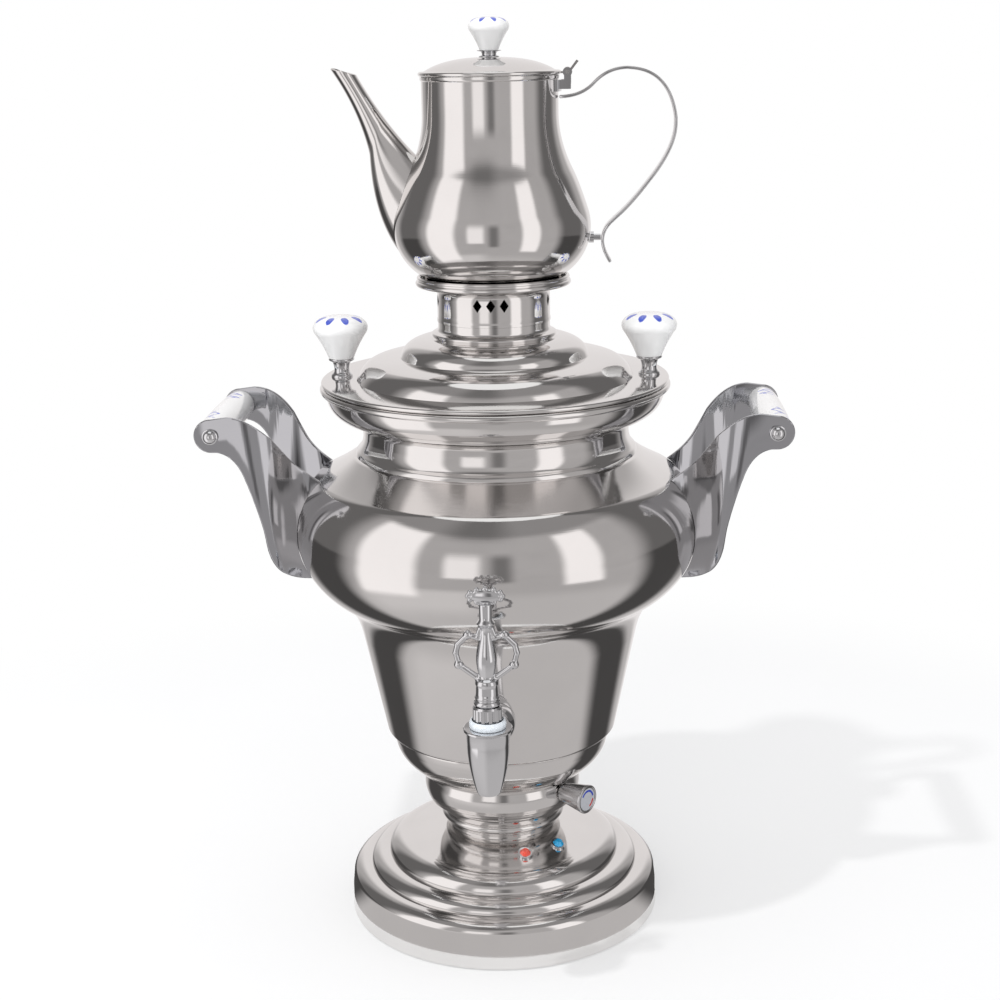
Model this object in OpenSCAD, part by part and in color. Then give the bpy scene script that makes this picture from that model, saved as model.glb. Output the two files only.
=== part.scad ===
// Electric samovar: a steel urn on a stepped base, with a tap, two porcelain-gripped handles,
// a lid with porcelain knobs, and a teapot that sits on a vented sleeve on top.
// Millimetres, Z up. The urn's axis is vertical and the tap faces -Y.

/* [Base] */
// Radius of the base at its band
base_r = 94.2; // [88:0.1:104]
// Height of the straight band
band_h = 20.3; // [16:0.1:26]
// Thickness of the pressed steel sheet
sheet = 1.2; // [0.8:0.1:1.6]
// Widths of the three rolled steps, outermost first
roll_w = [11.2, 11.3, 13.3]; // [8:0.1:14]
// Heights of the three rolled steps, outermost first
roll_h = [7.2, 7, 9.8]; // [5:0.1:12]
// Rise of the conical crown up to the pedestal
crown_rise = 8; // [4:0.5:10]
// Height of the gap that the feet leave under the band
foot_gap = 1.2; // [1:0.1:3]
// Height of a rubber foot
foot_h = 5; // [4:0.5:8]
// Radius of a rubber foot
foot_r = 9; // [7:0.5:11]
// Radius of the circle that the feet stand on
foot_circle_r = 78; // [70:1:82]
// Bore of the cord grommet
cord_bore_r = 3.4; // [2.5:0.1:4]

/* [Pedestal and heater housing] */
// Radius of the pedestal's foot
pedestal_foot_r = 33.4; // [31:0.1:36]
// Radius of the pedestal's top
pedestal_r = 46.3; // [43:0.1:50]
// Height of the pedestal
pedestal_h = 34.5; // [32:0.5:40]
// Radius of the heater housing's rim
housing_r = 66.2; // [64:0.1:67]
// Height of the heater housing
housing_h = 28.5; // [25:0.5:33]

/* [Indicator lamps and thermostat] */
// Distance of the lamps from the axis
lamp_circle_r = 46.5; // [44:0.5:50]
// Radius of a lamp's lens
lamp_r = 3.4; // [2.5:0.1:4]
// Bearing of the red lamp, degrees right of the tap
red_bearing = 19; // [10:1:30]
// Bearing of the blue lamp, degrees right of the tap
blue_bearing = 48; // [38:1:60]
// Bearing of the thermostat knob, degrees right of the tap
knob_bearing = 53; // [40:1:60]
// Length of the thermostat knob
knob_len = 18; // [14:0.5:22]
// Radius of the thermostat knob's face
knob_face_r = 8.8; // [7:0.1:10]
// Radius of the thermostat spindle
spindle_r = 2.6; // [2:0.1:2.8]

/* [Tank] */
// Radius of the tank where it flares to the waist
waist_r = 82.3; // [79:0.1:86]
// Height of the waist above the tank's floor
waist_h = 63.5; // [58:0.5:70]
// Radius of the ring under the bowl
ring_r = 69.6; // [68:0.1:72]
// Height of the ring under the bowl
ring_h = 3; // [2:0.5:3]
// Largest radius of the belly
belly_r = 119.2; // [112:0.1:126]
// Half width of the belly's oval in section
oval_w = 54; // [50:0.5:58]
// Half height of the belly's oval in section
oval_h = 48.3; // [46:0.1:52]
// Height of the belly's widest line above the waist
belly_rise = 63; // [60:0.5:68]
// Radius of the neck
neck_r = 77.6; // [72:0.1:80]
// Width of the rim's lip outside the lid
rim_lip = 0.8; // [0.5:0.1:3]
// Height of the rim above the neck
rim_h = 32.2; // [28:0.1:38]

/* [Tap] */
// Distance of the tap's spout from the urn's axis
tap_reach = 135; // [132:0.5:145]
// Height of the tap's bore above the tank's floor
tap_rise = 31; // [30:0.5:38]
// Radius of the tapered plug
plug_r = 7; // [6:0.1:7.5]
// Radius of the flange at the spout's top
spout_flange_r = 13.2; // [12:0.1:14]
// Radius of the spout's nose
nose_r = 6.4; // [5:0.1:7]
// Radius of the water passage
water_r = 3.2; // [2:0.1:3.4]
// Half width of the key across its scrolls
key_half_w = 18; // [15:0.5:19]
// Height of the key above the spout's flange
key_h = 78.2; // [70:0.1:86]

/* [Urn handles] */
// Distance of the grips from the urn's axis
grip_reach = 159.3; // [152:0.5:168]
// Height of the grips above the belly's widest line
grip_rise = 64; // [60:0.5:68]
// Half the span between the outer faces of two cheeks
cheek_half_span = 46; // [42:0.5:50]
// Thickness of a cheek
cheek_t = 2.2; // [1.6:0.1:3]
// Radius of the cheek's rounded end
cheek_end_r = 9.6; // [8.5:0.1:11]
// Radius of the porcelain grip at its middle
grip_r = 9.4; // [8:0.1:10.5]
// Radius of the rod through the grip
rod_r = 2.5; // [2:0.1:3]

/* [Lid] */
// Radius of the lid's step
step_r = 72; // [69:0.5:76]
// Width of the shelf between the lid's step and its rim
shelf_w = 29; // [27:0.5:31]
// Height of the lid's step above its rim
step_h = 12.6; // [10:0.1:15]
// Radius of the lid's inner dome
dome_r = 52; // [48:0.5:56]
// Height of the inner dome above the step
dome_h = 11.2; // [9:0.1:14]
// Gap between the step's toe and a lid knob's ferrule
knob_gap = 2.8; // [1:0.1:3]
// Largest radius of a porcelain lid knob
lid_knob_r = 16; // [13:0.5:18]
// Height of the spigot that carries the sleeve
spigot_h = 6; // [4:0.5:8]

/* [Teapot stand] */
// Outer radius of the vented sleeve
sleeve_r = 32.7; // [30:0.1:35]
// Height of the vented sleeve
sleeve_h = 17; // [15:0.5:20]
// Radius of the dish
dish_r = 44.6; // [43.5:0.1:48]
// Width of a diamond vent
vent_w = 5.4; // [3:0.1:6.5]
// Height of a diamond vent
vent_h = 7.5; // [4:0.1:9]
// Vents in each of the four groups
vent_count = 3; // [1:1:4]

/* [Teapot] */
// Largest radius of the teapot
pot_r = 56.1; // [52:0.1:60]
// Radius of the teapot's belly arc in section
pot_arc_r = 31; // [28:0.5:33]
// Height of the teapot's widest line above its foot
pot_belly_z = 30; // [27:0.5:34]
// Radius of the teapot's neck
pot_neck_r = 38.3; // [35:0.1:41]
// Height of the teapot's body
pot_h = 113.4; // [106:0.1:120]
// Thickness of the teapot's sheet
pot_sheet = 1; // [0.8:0.1:1.4]
// Thickness of the teapot's strap handle
strap_t = 1.7; // [1.2:0.1:2.2]
// Width of the teapot's strap handle
strap_w = 11; // [8:0.5:14]
// Height of the teapot lid's dome
pot_lid_h = 8.2; // [6:0.1:10]
// Largest radius of the teapot lid's porcelain knob
pot_knob_r = 11.5; // [9:0.1:13]
// Radius of the hinge pin
pin_r = 1.2; // [0.9:0.1:1.4]

/* [Hidden] */
$fn = 96;
running = 0.05;    // radial clearance of a turning fit
loose = 0.1;       // radial clearance round a fixed shank
seat = 0.2;        // clearance under a piece that lifts off
skin_gap = 0.2;    // clearance between two curved faces
screw_r = 2;       // small screws and studs

// Heights, from the table up
band_top_z = foot_gap + band_h;
band_top_r = base_r - 0.8;
crown_edge_r = band_top_r - total(roll_w, 3);
crown_edge_z = band_top_z + total(roll_h, 3);
crown_z = crown_edge_z + crown_rise;
crown_hole_r = pedestal_foot_r - 7;
pedestal_top_z = crown_z + pedestal_h;
floor_z = pedestal_top_z + housing_h;
waist_z = floor_z + waist_h;
belly_z = waist_z + belly_rise;
belly_c = belly_r - oval_w;
belly_from = -56;  // the belly's oval starts at this angle and ends at the shoulder
shoulder_a = 41;
shoulder = on_oval(shoulder_a);
neck_z = shoulder[1] + 22.4;
rim_z = neck_z + rim_h;
lid_z = rim_z + seat;
lid_r = step_r + shelf_w;
rim_r = lid_r + rim_lip;
toe_r = step_r + 8.3;
ferrule_foot_r = 6.3;
lid_knob_reach = toe_r + knob_gap + ferrule_foot_r;

// Parts of the base
wall_in_r = base_r - sheet;
plate_z = foot_h;
plate_t = 1.2;
lug_h = 6;
block_y = wall_in_r - 33;
foot_angles = [45, 135, 225, 315];
grommet_z = foot_gap + 10;

// Thermostat, on a level line that leaves the housing at its bearing
knob_z = pedestal_top_z - 5.2;
bush_r = spindle_r + 1.3;
bush_from = 38.5;
knob_from = pedestal_r + 1.9;
thermostat_len = 14;
thermostat_r = 9.2;

// Heater
heater_r = 40;
heater_tube_r = 4;
heater_rise = 18;
heater_leg_a = 14;

// Tap
tap_z = floor_z + tap_rise;
spout_top_z = tap_z + 20.8;
nose_z = tap_z - 17;
bore_floor_z = tap_z - 10;
shank_r = 7;
seal_h = 4.6;
collar_h = 7.8;
key_z = spout_top_z + seal_h;

// Urn handles
grip_z = belly_z + grip_rise;
grip_half = cheek_half_span - cheek_t;
pad_half = 24;
foot_t = 2;
handle_bolt_y = 16;

// Lid and stand
lid_top_z = lid_z + 2.6;
neck_moulding_z = lid_top_z + step_h + dome_h;
spigot_z = neck_moulding_z + 8.8;
spigot_r = sleeve_r - 1.3 - running;
sleeve_z = spigot_z + seat;
dish_z = sleeve_z + sleeve_h;
ferrule_h = 11;

// Teapot
pot_z = dish_z + 6 + seat;
pot_c = pot_r - pot_arc_r;
pot_rim_z = pot_z + pot_h;
pot_lid_z = pot_rim_z + 0.3;
pot_foot_r = 40;
hinge_x = pot_neck_r + 5.2;
hinge_z = pot_rim_z + 1.6;
knuckle_r = 2.6;
strap_end_z = pot_rim_z - 11;

// The origin is under the middle of the bounding box, which the belly ends at the back
// and the spout's flange at the front
axis_shift = (tap_reach + spout_flange_r - belly_r) / 2;

// ---- helpers ----
function total(v, n) = n <= 0 ? 0 : v[n - 1] + total(v, n - 1);
function unit(v) = v / norm(v);
function on_oval(a) = [belly_c + oval_w * cos(a), belly_z + oval_h * sin(a)];
function leftward(v) = [-v[1], v[0]];
function arc(c, r, from, to, steps) =
    [for (i = [0:steps]) let (a = from + (to - from) * i / steps) c + r * [cos(a), sin(a)]];
function bend(p, q, s, steps) =
    [for (i = [0:steps]) let (t = i / steps) (1 - t) * (1 - t) * p + 2 * t * (1 - t) * q + t * t * s];
// a quarter of an ellipse that rises upright from one corner and ends level at the other
function roll(p, q, steps) =
    [for (i = [1:steps]) let (a = 90 * i / steps)
        [q[0] + (p[0] - q[0]) * cos(a), p[1] + (q[1] - p[1]) * sin(a)]];
// the same path moved to its left by t
function moved(path, t) =
    [for (i = [0:len(path) - 1])
        let (a = leftward(unit(i > 0 ? path[i] - path[i - 1] : path[1] - path[0])),
             b = leftward(unit(i < len(path) - 1 ? path[i + 1] - path[i] : path[i] - path[i - 1])),
             m = unit(a + b))
        path[i] + m * t / max(0.5, m * a)];
function after_first(path) = [for (i = [1:len(path) - 1]) path[i]];
function back_to_front(path) = [for (i = [len(path) - 1:-1:0]) path[i]];
// a strip of sheet metal whose outer face is the path
function strip(path, t) = concat(path, back_to_front(moved(path, t)));

module turned(path, t = sheet) rotate_extrude() polygon(strip(path, t));
// the stretch of such a strip between two places on its path
module turned_part(path, from, to) rotate_extrude() let (inner = moved(path, sheet))
    polygon(concat([for (i = [from:to]) path[i]], [for (i = [to:-1:from]) inner[i]]));
module on_axis() translate([0, axis_shift, 0]) children();
module ring(r_out, r_in, h) {
    difference() {
        cylinder(r = r_out, h = h);
        translate([0, 0, -1]) cylinder(r = r_in, h = h + 2);
    }
}
module disc_at(p, r, h) translate(p) cylinder(r = r, h = h);
// a rod between two points
module rod(p, q, r) {
    d = q - p;
    translate(p)
        rotate([0, acos(d[2] / norm(d)), atan2(d[1], d[0])])
            cylinder(r = r, h = norm(d), $fn = 24);
}
// a lead laid in straight runs, of two thicknesses by turns
module route(points, r) {
    for (i = [1:len(points) - 1])
        let (w = i % 2 == 0 ? r : 1.25 * r, d = 0.8 * r * unit(points[i] - points[i - 1]))
            rod(points[i - 1] - (i > 1 ? 1 : 0) * d, points[i] + (i < len(points) - 1 ? 1 : 0) * d, w);
}
// children are placed on a level line that leaves the axis at a bearing right of the tap
module at_bearing(a, z) translate([0, 0, z]) rotate([0, 0, a - 90]) rotate([0, 90, 0]) children();
// children are placed upright on the crown's cone
module on_crown(a) {
    slope = atan2(crown_rise, crown_edge_r - pedestal_foot_r - 2);
    rise = (crown_edge_r - lamp_circle_r) / (crown_edge_r - pedestal_foot_r - 2) * crown_rise;
    rotate([0, 0, a - 90])
        translate([lamp_circle_r, 0, crown_edge_z + rise])
            rotate([0, slope, 0]) children();
}

// ---- paths of the pressed shells, each from its outer lower end ----
base_path = concat(
    [[base_r + 0.6, foot_gap], [base_r, foot_gap + 3], [base_r, foot_gap + band_h * 0.62],
     [band_top_r, band_top_z]],
    [for (i = [0:2]) each roll([band_top_r - total(roll_w, i), band_top_z + total(roll_h, i)],
        [band_top_r - total(roll_w, i + 1), band_top_z + total(roll_h, i + 1)], 8)],
    [[pedestal_foot_r + 2, crown_z], [crown_hole_r, crown_z]]);

pedestal_mid_r = (2 * pedestal_foot_r + pedestal_r) / 3;
pedestal_path = concat(
    [[pedestal_foot_r - 5, crown_z], [pedestal_foot_r, crown_z], [pedestal_foot_r, crown_z + 1.4]],
    bend([pedestal_foot_r - 0.8, crown_z + 2], [pedestal_foot_r - 0.6, crown_z + 3.6],
         [pedestal_mid_r - 2.4, crown_z + 4], 4),
    arc([pedestal_mid_r - 2.4, crown_z + 6.8], 2.4, -70, 78, 8),
    bend([pedestal_mid_r - 1.2, crown_z + 9.8], [pedestal_mid_r - 0.8, pedestal_top_z - 18.6],
         [pedestal_r - 2, pedestal_top_z - 17], 5),
    bend([pedestal_r - 1.1, pedestal_top_z - 16.6], [pedestal_r + 3.2, pedestal_top_z - 8],
         [pedestal_r - 0.2, pedestal_top_z], 10));

housing_path = concat(
    [[pedestal_r - 5.6, pedestal_top_z], [pedestal_r + 0.4, pedestal_top_z]],
    bend([pedestal_r + 1.2, pedestal_top_z + 0.4], [pedestal_r + 3.4, pedestal_top_z + 1.4],
         [housing_r - 11.4, pedestal_top_z + 6.4], 5),
    bend([housing_r - 10.6, pedestal_top_z + 7.2], [housing_r - 2.4, pedestal_top_z + 14],
         [housing_r - 1.4, floor_z - 6], 9),
    [[housing_r - 0.2, floor_z - 0.8], [housing_r - 1, floor_z], [housing_r - 8, floor_z]]);

ring_path = arc([ring_r - ring_h, floor_z + ring_h], ring_h, -90, 0, 6);
shoulder_path = concat(
    bend(shoulder + [-0.8, 0.5], shoulder + [-13, 6.3], [neck_r + 5.8, neck_z - 9], 6),
    [[neck_r + 4.8, neck_z - 8.6], [neck_r + 4.3, neck_z - 6.9]],
    bend([neck_r + 3.6, neck_z - 6], [neck_r + 0.2, neck_z - 3], [neck_r, neck_z + 3], 5));
rim_path = concat(
    bend([neck_r, neck_z + 7], [neck_r + 0.2, neck_z + 11], [neck_r + 5, neck_z + 12], 4),
    bend([neck_r + 6, neck_z + 12.3], [rim_r - 4.2, neck_z + 15.5], [rim_r - 3.5, rim_z - 4.4], 9),
    [[rim_r - 2.6, rim_z - 3.8]],
    arc([rim_r - 2.1, rim_z - 2], 2, -60, 90, 7));
belly_start = on_oval(belly_from);
bowl_path = concat(ring_path,
    bend([waist_r, waist_z], [waist_r + 3.7, belly_start[1] - 6.3], belly_start, 8));
belly_path = [for (i = [1:29]) on_oval(belly_from + (shoulder_a - belly_from) * i / 30)];
tank_path = concat([[0, floor_z], [ring_r - ring_h - 0.5, floor_z]], bowl_path, belly_path,
    shoulder_path, rim_path);
// seams between the tank's pressings, as places on its path
waist_seam = 1 + len(bowl_path);
shoulder_seam = waist_seam + len(belly_path) + 1;

step_path = concat(
    bend([toe_r, lid_top_z + 0.05], [step_r + 4.2, lid_top_z + 9.8],
         [step_r - 3, lid_top_z + step_h - 1.7], 8),
    bend([step_r - 4, lid_top_z + step_h - 1.5], [dome_r + 9, lid_top_z + step_h - 0.4],
         [dome_r + 3, lid_top_z + step_h], 3));
dome_path = bend([dome_r + 2.4, lid_top_z + step_h + 1], [dome_r - 0.5, neck_moulding_z - 1.4],
    [sleeve_r + 5, neck_moulding_z - 0.2], 9);
moulding_path = concat(
    [[sleeve_r + 3.6, neck_moulding_z]],
    arc([sleeve_r + 2.2, neck_moulding_z + 1.5], 1.2, -50, 80, 5),
    bend([sleeve_r + 1.6, neck_moulding_z + 3.2], [sleeve_r - 0.4, neck_moulding_z + 3.6],
         [sleeve_r - 0.4, neck_moulding_z + 6], 4),
    [[sleeve_r - 0.4, spigot_z], [spigot_r, spigot_z], [spigot_r, spigot_z + spigot_h]]);
rim_roll = arc([lid_r - 1.4, lid_z + 1.3], 1.3, -80, 90, 8);
lid_path = concat(rim_roll, step_path, dome_path, moulding_path);
lid_seam = len(rim_roll) + len(step_path) - 1;

pot_belly_from = asin((4 - pot_belly_z) / pot_arc_r);
pot_turn = [pot_c, pot_z + pot_belly_z] + pot_arc_r * [cos(18), sin(18)];
pot_mid = [(pot_turn[0] + pot_neck_r) / 2, pot_turn[1] + 21.6];
pot_path = concat(
    [[0, pot_z], [pot_foot_r, pot_z]],
    arc([pot_c, pot_z + pot_belly_z], pot_arc_r, pot_belly_from, 17, 18),
    bend(pot_turn, [pot_turn[0] - 4.7, pot_turn[1] + 14.6], pot_mid, 6),
    after_first(bend(pot_mid, [pot_neck_r, pot_mid[1] + 16], [pot_neck_r, pot_mid[1] + 32], 7)),
    [[pot_neck_r, pot_rim_z - 2.4], [pot_neck_r + 0.7, pot_rim_z - 1.6], [pot_neck_r + 0.7, pot_rim_z]]);

// solids bounded by the tank's and the teapot's outer faces, grown by g
module tank_outside(g)
    rotate_extrude() polygon(concat(moved(tank_path, -g), [[0, rim_z + g]]));
module pot_outside(g)
    rotate_extrude() polygon(concat(moved(pot_path, -g), [[0, pot_rim_z]]));
module tank_inside(g)
    rotate_extrude() polygon(concat(moved(tank_path, sheet + g), [[0, rim_z]]));

// ---- base ----
module base_shell() color("#c9c6c4") {
    difference() {
        union() {
            turned(base_path);
            for (a = foot_angles) intersection() {
                cylinder(r = wall_in_r + sheet / 2, h = plate_z + plate_t + lug_h);
                rotate([0, 0, a])
                    translate([foot_circle_r - 7, -7, plate_z + plate_t])
                        cube([base_r - foot_circle_r + 7, 14, lug_h]);
            }
        }
        for (a = foot_angles) rotate([0, 0, a])
            disc_at([foot_circle_r, 0, plate_z], screw_r + loose, lug_h + 4);
        for (a = [red_bearing, blue_bearing])
            on_crown(a) translate([0, 0, -6]) cylinder(r = lamp_r - 0.1, h = 12);
        translate([0, base_r + 2, grommet_z]) rotate([90, 0, 0]) cylinder(r = cord_bore_r + 1.6, h = 6);
    }
}

module base_plate() color("#8f8d8c") {
    difference() {
        disc_at([0, 0, plate_z], wall_in_r - 0.4, plate_t);
        for (a = foot_angles) rotate([0, 0, a])
            disc_at([foot_circle_r, 0, plate_z - 1], screw_r + loose, plate_t + 2);
        for (a = [0:30:330]) rotate([0, 0, a])
            translate([24, -1.5, plate_z - 1]) cube([18, 3, plate_t + 2]);
        translate([-8, wall_in_r - 5, plate_z - 1]) cube([16, 10, plate_t + 2]);
    }
}

module rubber_feet() color("#2b2b2b") {
    for (a = foot_angles) rotate([0, 0, a]) translate([foot_circle_r, 0, 0])
        rotate_extrude() polygon([[screw_r + loose, foot_h], [screw_r + loose, 3], [screw_r + 2.2, 3],
            [screw_r + 2.2, 0], [foot_r - 1.4, 0], [foot_r, 1.2], [foot_r, foot_h]]);
}

module foot_screws() color("#9a9a9a") {
    for (a = foot_angles) rotate([0, 0, a]) {
        disc_at([foot_circle_r, 0, 3 - 1.6], screw_r + 1.8, 1.6);
        disc_at([foot_circle_r, 0, 2.9], screw_r, foot_h + plate_t + lug_h - 3.4);
    }
}

module cord_grommet() color("#242424") {
    groove = cord_bore_r + 1.4;
    translate([0, base_r, grommet_z]) rotate([-90, 0, 0])
        rotate_extrude() polygon([[cord_bore_r, 2.2], [cord_bore_r, -3.4], [groove + 1.6, -3.4],
            [groove + 1.6, -sheet - 0.6], [groove, -sheet - 0.6], [groove, 0.05],
            [groove + 1.8, 0.05], [groove + 1.2, 2.2]]);
}

module terminal_block() color("#e8e4da") {
    difference() {
        translate([-14, block_y - 6, plate_z + plate_t]) cube([28, 12, 12]);
        for (x = [-6, 6]) disc_at([x, block_y, plate_z + plate_t + 4], 1.5, 12);
    }
}

// ---- lamps, seated on the crown ----
module lamp() {
    translate([0, 0, 0.9]) cylinder(r1 = lamp_r, r2 = lamp_r * 0.55, h = 2, $fn = 8);
    translate([0, 0, -9]) cylinder(r = lamp_r - 0.3, h = 9.95);
}
module red_lamp() color("#dc3c32") on_crown(red_bearing) lamp();
module blue_lamp() color("#0a8ed2") on_crown(blue_bearing) lamp();
module lamp_bezels() color("#bdbbba") {
    for (a = [red_bearing, blue_bearing]) on_crown(a) translate([0, 0, 0.02])
        ring(lamp_r + 1, lamp_r - 0.2, 0.85);
}
module lamp_nuts() color("#4a4a4a") {
    for (a = [red_bearing, blue_bearing]) on_crown(a) translate([0, 0, -sheet - 3.1])
        ring(lamp_r + 2, lamp_r - 0.25, 3);
}

// ---- pedestal, clamp and housing ----
module pedestal() color("#c9c6c4") {
    difference() {
        turned(pedestal_path);
        at_bearing(knob_bearing, knob_z) translate([0, 0, pedestal_r - 8])
            cylinder(r = bush_r + loose, h = 20);
    }
}

clamp_z = crown_z - sheet - 2.5;
module clamp_plate() color("#8f8d8c") {
    difference() {
        disc_at([0, 0, clamp_z], crown_hole_r + 6, 2.5);
        disc_at([0, 0, clamp_z - 1], screw_r + 1 + loose, 5);
        disc_at([0, 18, clamp_z - 1], 8, 5);
    }
}

module tie_stud() color("#9a9a9a") disc_at([0, 0, clamp_z - 8], screw_r + 1, floor_z - clamp_z + 8);

module tie_nut() color("#9a9a9a") {
    difference() {
        disc_at([0, 0, clamp_z - 5], 6, 5, $fn = 6);
        disc_at([0, 0, clamp_z - 6], screw_r + 1 + loose / 2, 7);
    }
}

module heater_housing() color("#c9c6c4") turned(housing_path);

module thermostat_body() color("#d8d2c4") {
    at_bearing(knob_bearing, knob_z) translate([0, 0, bush_from - thermostat_len]) {
        cylinder(r = thermostat_r, h = thermostat_len);
        for (y = [-4, 4]) translate([0, y, -3]) cylinder(r = 1.4, h = 3.5);
    }
}

module thermostat_bush() color("#9a9a9a") {
    at_bearing(knob_bearing, knob_z) translate([0, 0, bush_from])
        ring(bush_r, spindle_r + running, knob_from - bush_from - 0.3);
}

module thermostat_spindle() color("#9a9a9a") {
    at_bearing(knob_bearing, knob_z) translate([0, 0, bush_from + 0.1])
        cylinder(r = spindle_r, h = knob_from - bush_from + knob_len * 0.7);
}

module thermostat_knob() color("#bab8b6") {
    at_bearing(knob_bearing, knob_z) translate([0, 0, knob_from]) difference() {
        rotate_extrude() polygon([[0, 0], [knob_face_r * 0.64, 0], [knob_face_r * 0.66, 0.6],
            [knob_face_r, knob_len - 1.2], [knob_face_r - 0.2, knob_len - 0.3],
            [knob_face_r - 0.9, knob_len], [0, knob_len]]);
        translate([0, 0, -1]) cylinder(r = spindle_r + 0.02, h = knob_len * 0.7 + 1.3);
    }
}

module thermal_cutout() color("#3a3a3a") {
    disc_at([-25, 0, floor_z - 6], 8, 6);
    for (y = [-3.5, 3.5]) disc_at([-25, y, floor_z - 9], 1.4, 3.2);
}

// ---- heater in the tank, its seals and nuts, and the leads below ----
module at_heater_legs() for (a = [90 - heater_leg_a, 90 + heater_leg_a]) rotate([0, 0, a])
    translate([heater_r, 0, 0]) children();

module heater_element() color("#a8a4a0") {
    z = floor_z + heater_rise;
    translate([0, 0, z]) rotate([0, 0, 90 + heater_leg_a])
        rotate_extrude(angle = 360 - 2 * heater_leg_a)
            translate([heater_r, 0]) circle(r = heater_tube_r, $fn = 32);
    at_heater_legs() {
        disc_at([0, 0, floor_z - 8], heater_tube_r, heater_rise + 8);
        disc_at([0, 0, floor_z - 11], 1.6, 4);
        translate([0, 0, z]) sphere(r = heater_tube_r * 1.04, $fn = 32);
    }
}

module heater_seals() color("#3d2f2a") at_heater_legs() translate([0, 0, floor_z + sheet])
    ring(heater_tube_r + 3, heater_tube_r + loose / 2, 2);

module heater_nuts() color("#c8a24a") at_heater_legs() difference() {
    disc_at([0, 0, floor_z - 5], 7.5, 5, $fn = 6);
    disc_at([0, 0, floor_z - 6], heater_tube_r + loose / 2, 7);
}

module inner_leads() color("#b05a2a") {
    block_z = plate_z + plate_t + 12;
    leg = heater_r * [sin(heater_leg_a), cos(heater_leg_a)];
    terminal = (bush_from - thermostat_len - 3) * [sin(knob_bearing), -cos(knob_bearing)];
    side = 4 * [cos(knob_bearing), sin(knob_bearing)];
    low = [terminal[0] + side[0], terminal[1] + side[1], knob_z];
    high = [terminal[0] - side[0], terminal[1] - side[1], knob_z];
    route([[6, block_y, block_z - 6], [6, block_y, block_z + 4], [6, 40, crown_z - 15], [5, 20, clamp_z - 4],
           [5, 20, crown_z + 12], [low[0] - 3, low[1] + 3, knob_z], low], 1.1);
    route([high, [high[0] - 5, high[1] + 4, knob_z], [-22, -8, floor_z - 14], [-25, -3.5, floor_z - 12],
           [-25, -3.5, floor_z - 9]], 1.1);
    route([[-25, 3.5, floor_z - 9], [-25, 3.5, floor_z - 13], [-14, leg[1] - 8, floor_z - 17],
           [-leg[0], leg[1], floor_z - 16], [-leg[0], leg[1], floor_z - 11]], 1.1);
    route([[leg[0], leg[1], floor_z - 11], [leg[0], leg[1], floor_z - 15], [2, 30, pedestal_top_z - 6],
           [-4, 20, crown_z + 8], [-4, 20, clamp_z - 4], [-6, 40, crown_z - 15], [-6, block_y, block_z + 4],
           [-6, block_y, block_z - 6]], 1.1);
}

// ---- tank ----
module tank_floor() color("#c9c6c4") difference() {
    turned_part(tank_path, 0, 2);
    at_heater_legs() disc_at([0, 0, floor_z - 1], heater_tube_r + loose, sheet + 2);
}
module tank_bowl() color("#c9c6c4") difference() {
    turned_part(tank_path, 2, waist_seam);
    translate([0, -ring_r + 12, tap_z]) rotate([90, 0, 0]) cylinder(r = shank_r + loose, h = 30);
}
module tank_belly() color("#c9c6c4") difference() {
    turned_part(tank_path, waist_seam, shoulder_seam);
    for (side = [-1, 1], y = [-handle_bolt_y, handle_bolt_y])
        translate([side * (belly_r - 16), y, belly_z]) rotate([0, side * 90, 0])
            cylinder(r = screw_r + loose, h = 30);
}
module tank_neck() color("#c9c6c4") turned_part(tank_path, shoulder_seam, len(tank_path) - 1);

// ---- tap: spout, plug bore and shank ----
module at_tap(z) translate([0, -tap_reach, z]) children();
escutcheon_out = ring_r + 17;

module tap_escutcheon() color("#b9b7b6") {
    difference() {
        translate([0, -ring_r + 4, tap_z]) rotate([90, 0, 0]) {
            h = escutcheon_out - ring_r + 4;
            rotate_extrude() polygon([[shank_r + loose, 0], [12.2, 0], [12.2, h - 6], [11.8, h - 4.4],
                [10.4, h - 2.2], [9.6, h], [shank_r + loose, h]]);
        }
        tank_outside(skin_gap);
    }
}

module tap_body() color("#b9b7b6") {
    difference() {
        union() {
            at_tap(0) rotate_extrude() polygon(concat(
                [[0, nose_z], [nose_r, nose_z]],
                bend([nose_r + 0.4, nose_z + 1], [spout_flange_r - 1.7, nose_z + 17],
                     [spout_flange_r - 1.8, tap_z + 12], 10),
                [[spout_flange_r - 1.2, spout_top_z - 2], [spout_flange_r, spout_top_z - 1.4],
                 [spout_flange_r, spout_top_z - 0.4], [spout_flange_r - 0.6, spout_top_z],
                 [plug_r + 1.4, spout_top_z], [plug_r + 1.4, key_z], [0, key_z]]));
            translate([0, -ring_r + 8, tap_z]) rotate([90, 0, 0])
                cylinder(r = shank_r, h = escutcheon_out - ring_r + 9);
            translate([0, -escutcheon_out - 0.2, tap_z]) rotate([90, 0, 0])
                rotate_extrude() polygon(concat([[0, 0], [9.4, 0], [9.8, 1], [9.4, 2.4]],
                    bend([8.2, 3], [7.2, 16], [8, tap_reach - escutcheon_out - 14], 6),
                    [[8, tap_reach - escutcheon_out - 6], [0, tap_reach - escutcheon_out - 6]]));
        }
        at_tap(bore_floor_z) cylinder(r = plug_r + running, h = key_z - bore_floor_z + 1);
        at_tap(nose_z - 1) cylinder(r = water_r, h = bore_floor_z - nose_z + 2);
        translate([0, -ring_r + 9, tap_z]) rotate([90, 0, 0])
            cylinder(r = water_r, h = tap_reach - ring_r + 9 - plug_r + 2);
    }
}

module tap_washer() color("#8a3b2c") {
    intersection() {
        translate([0, -ring_r + 2, tap_z]) rotate([90, 0, 0]) ring(12, shank_r + loose, 12);
        tank_inside(skin_gap);
    }
}

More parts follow.
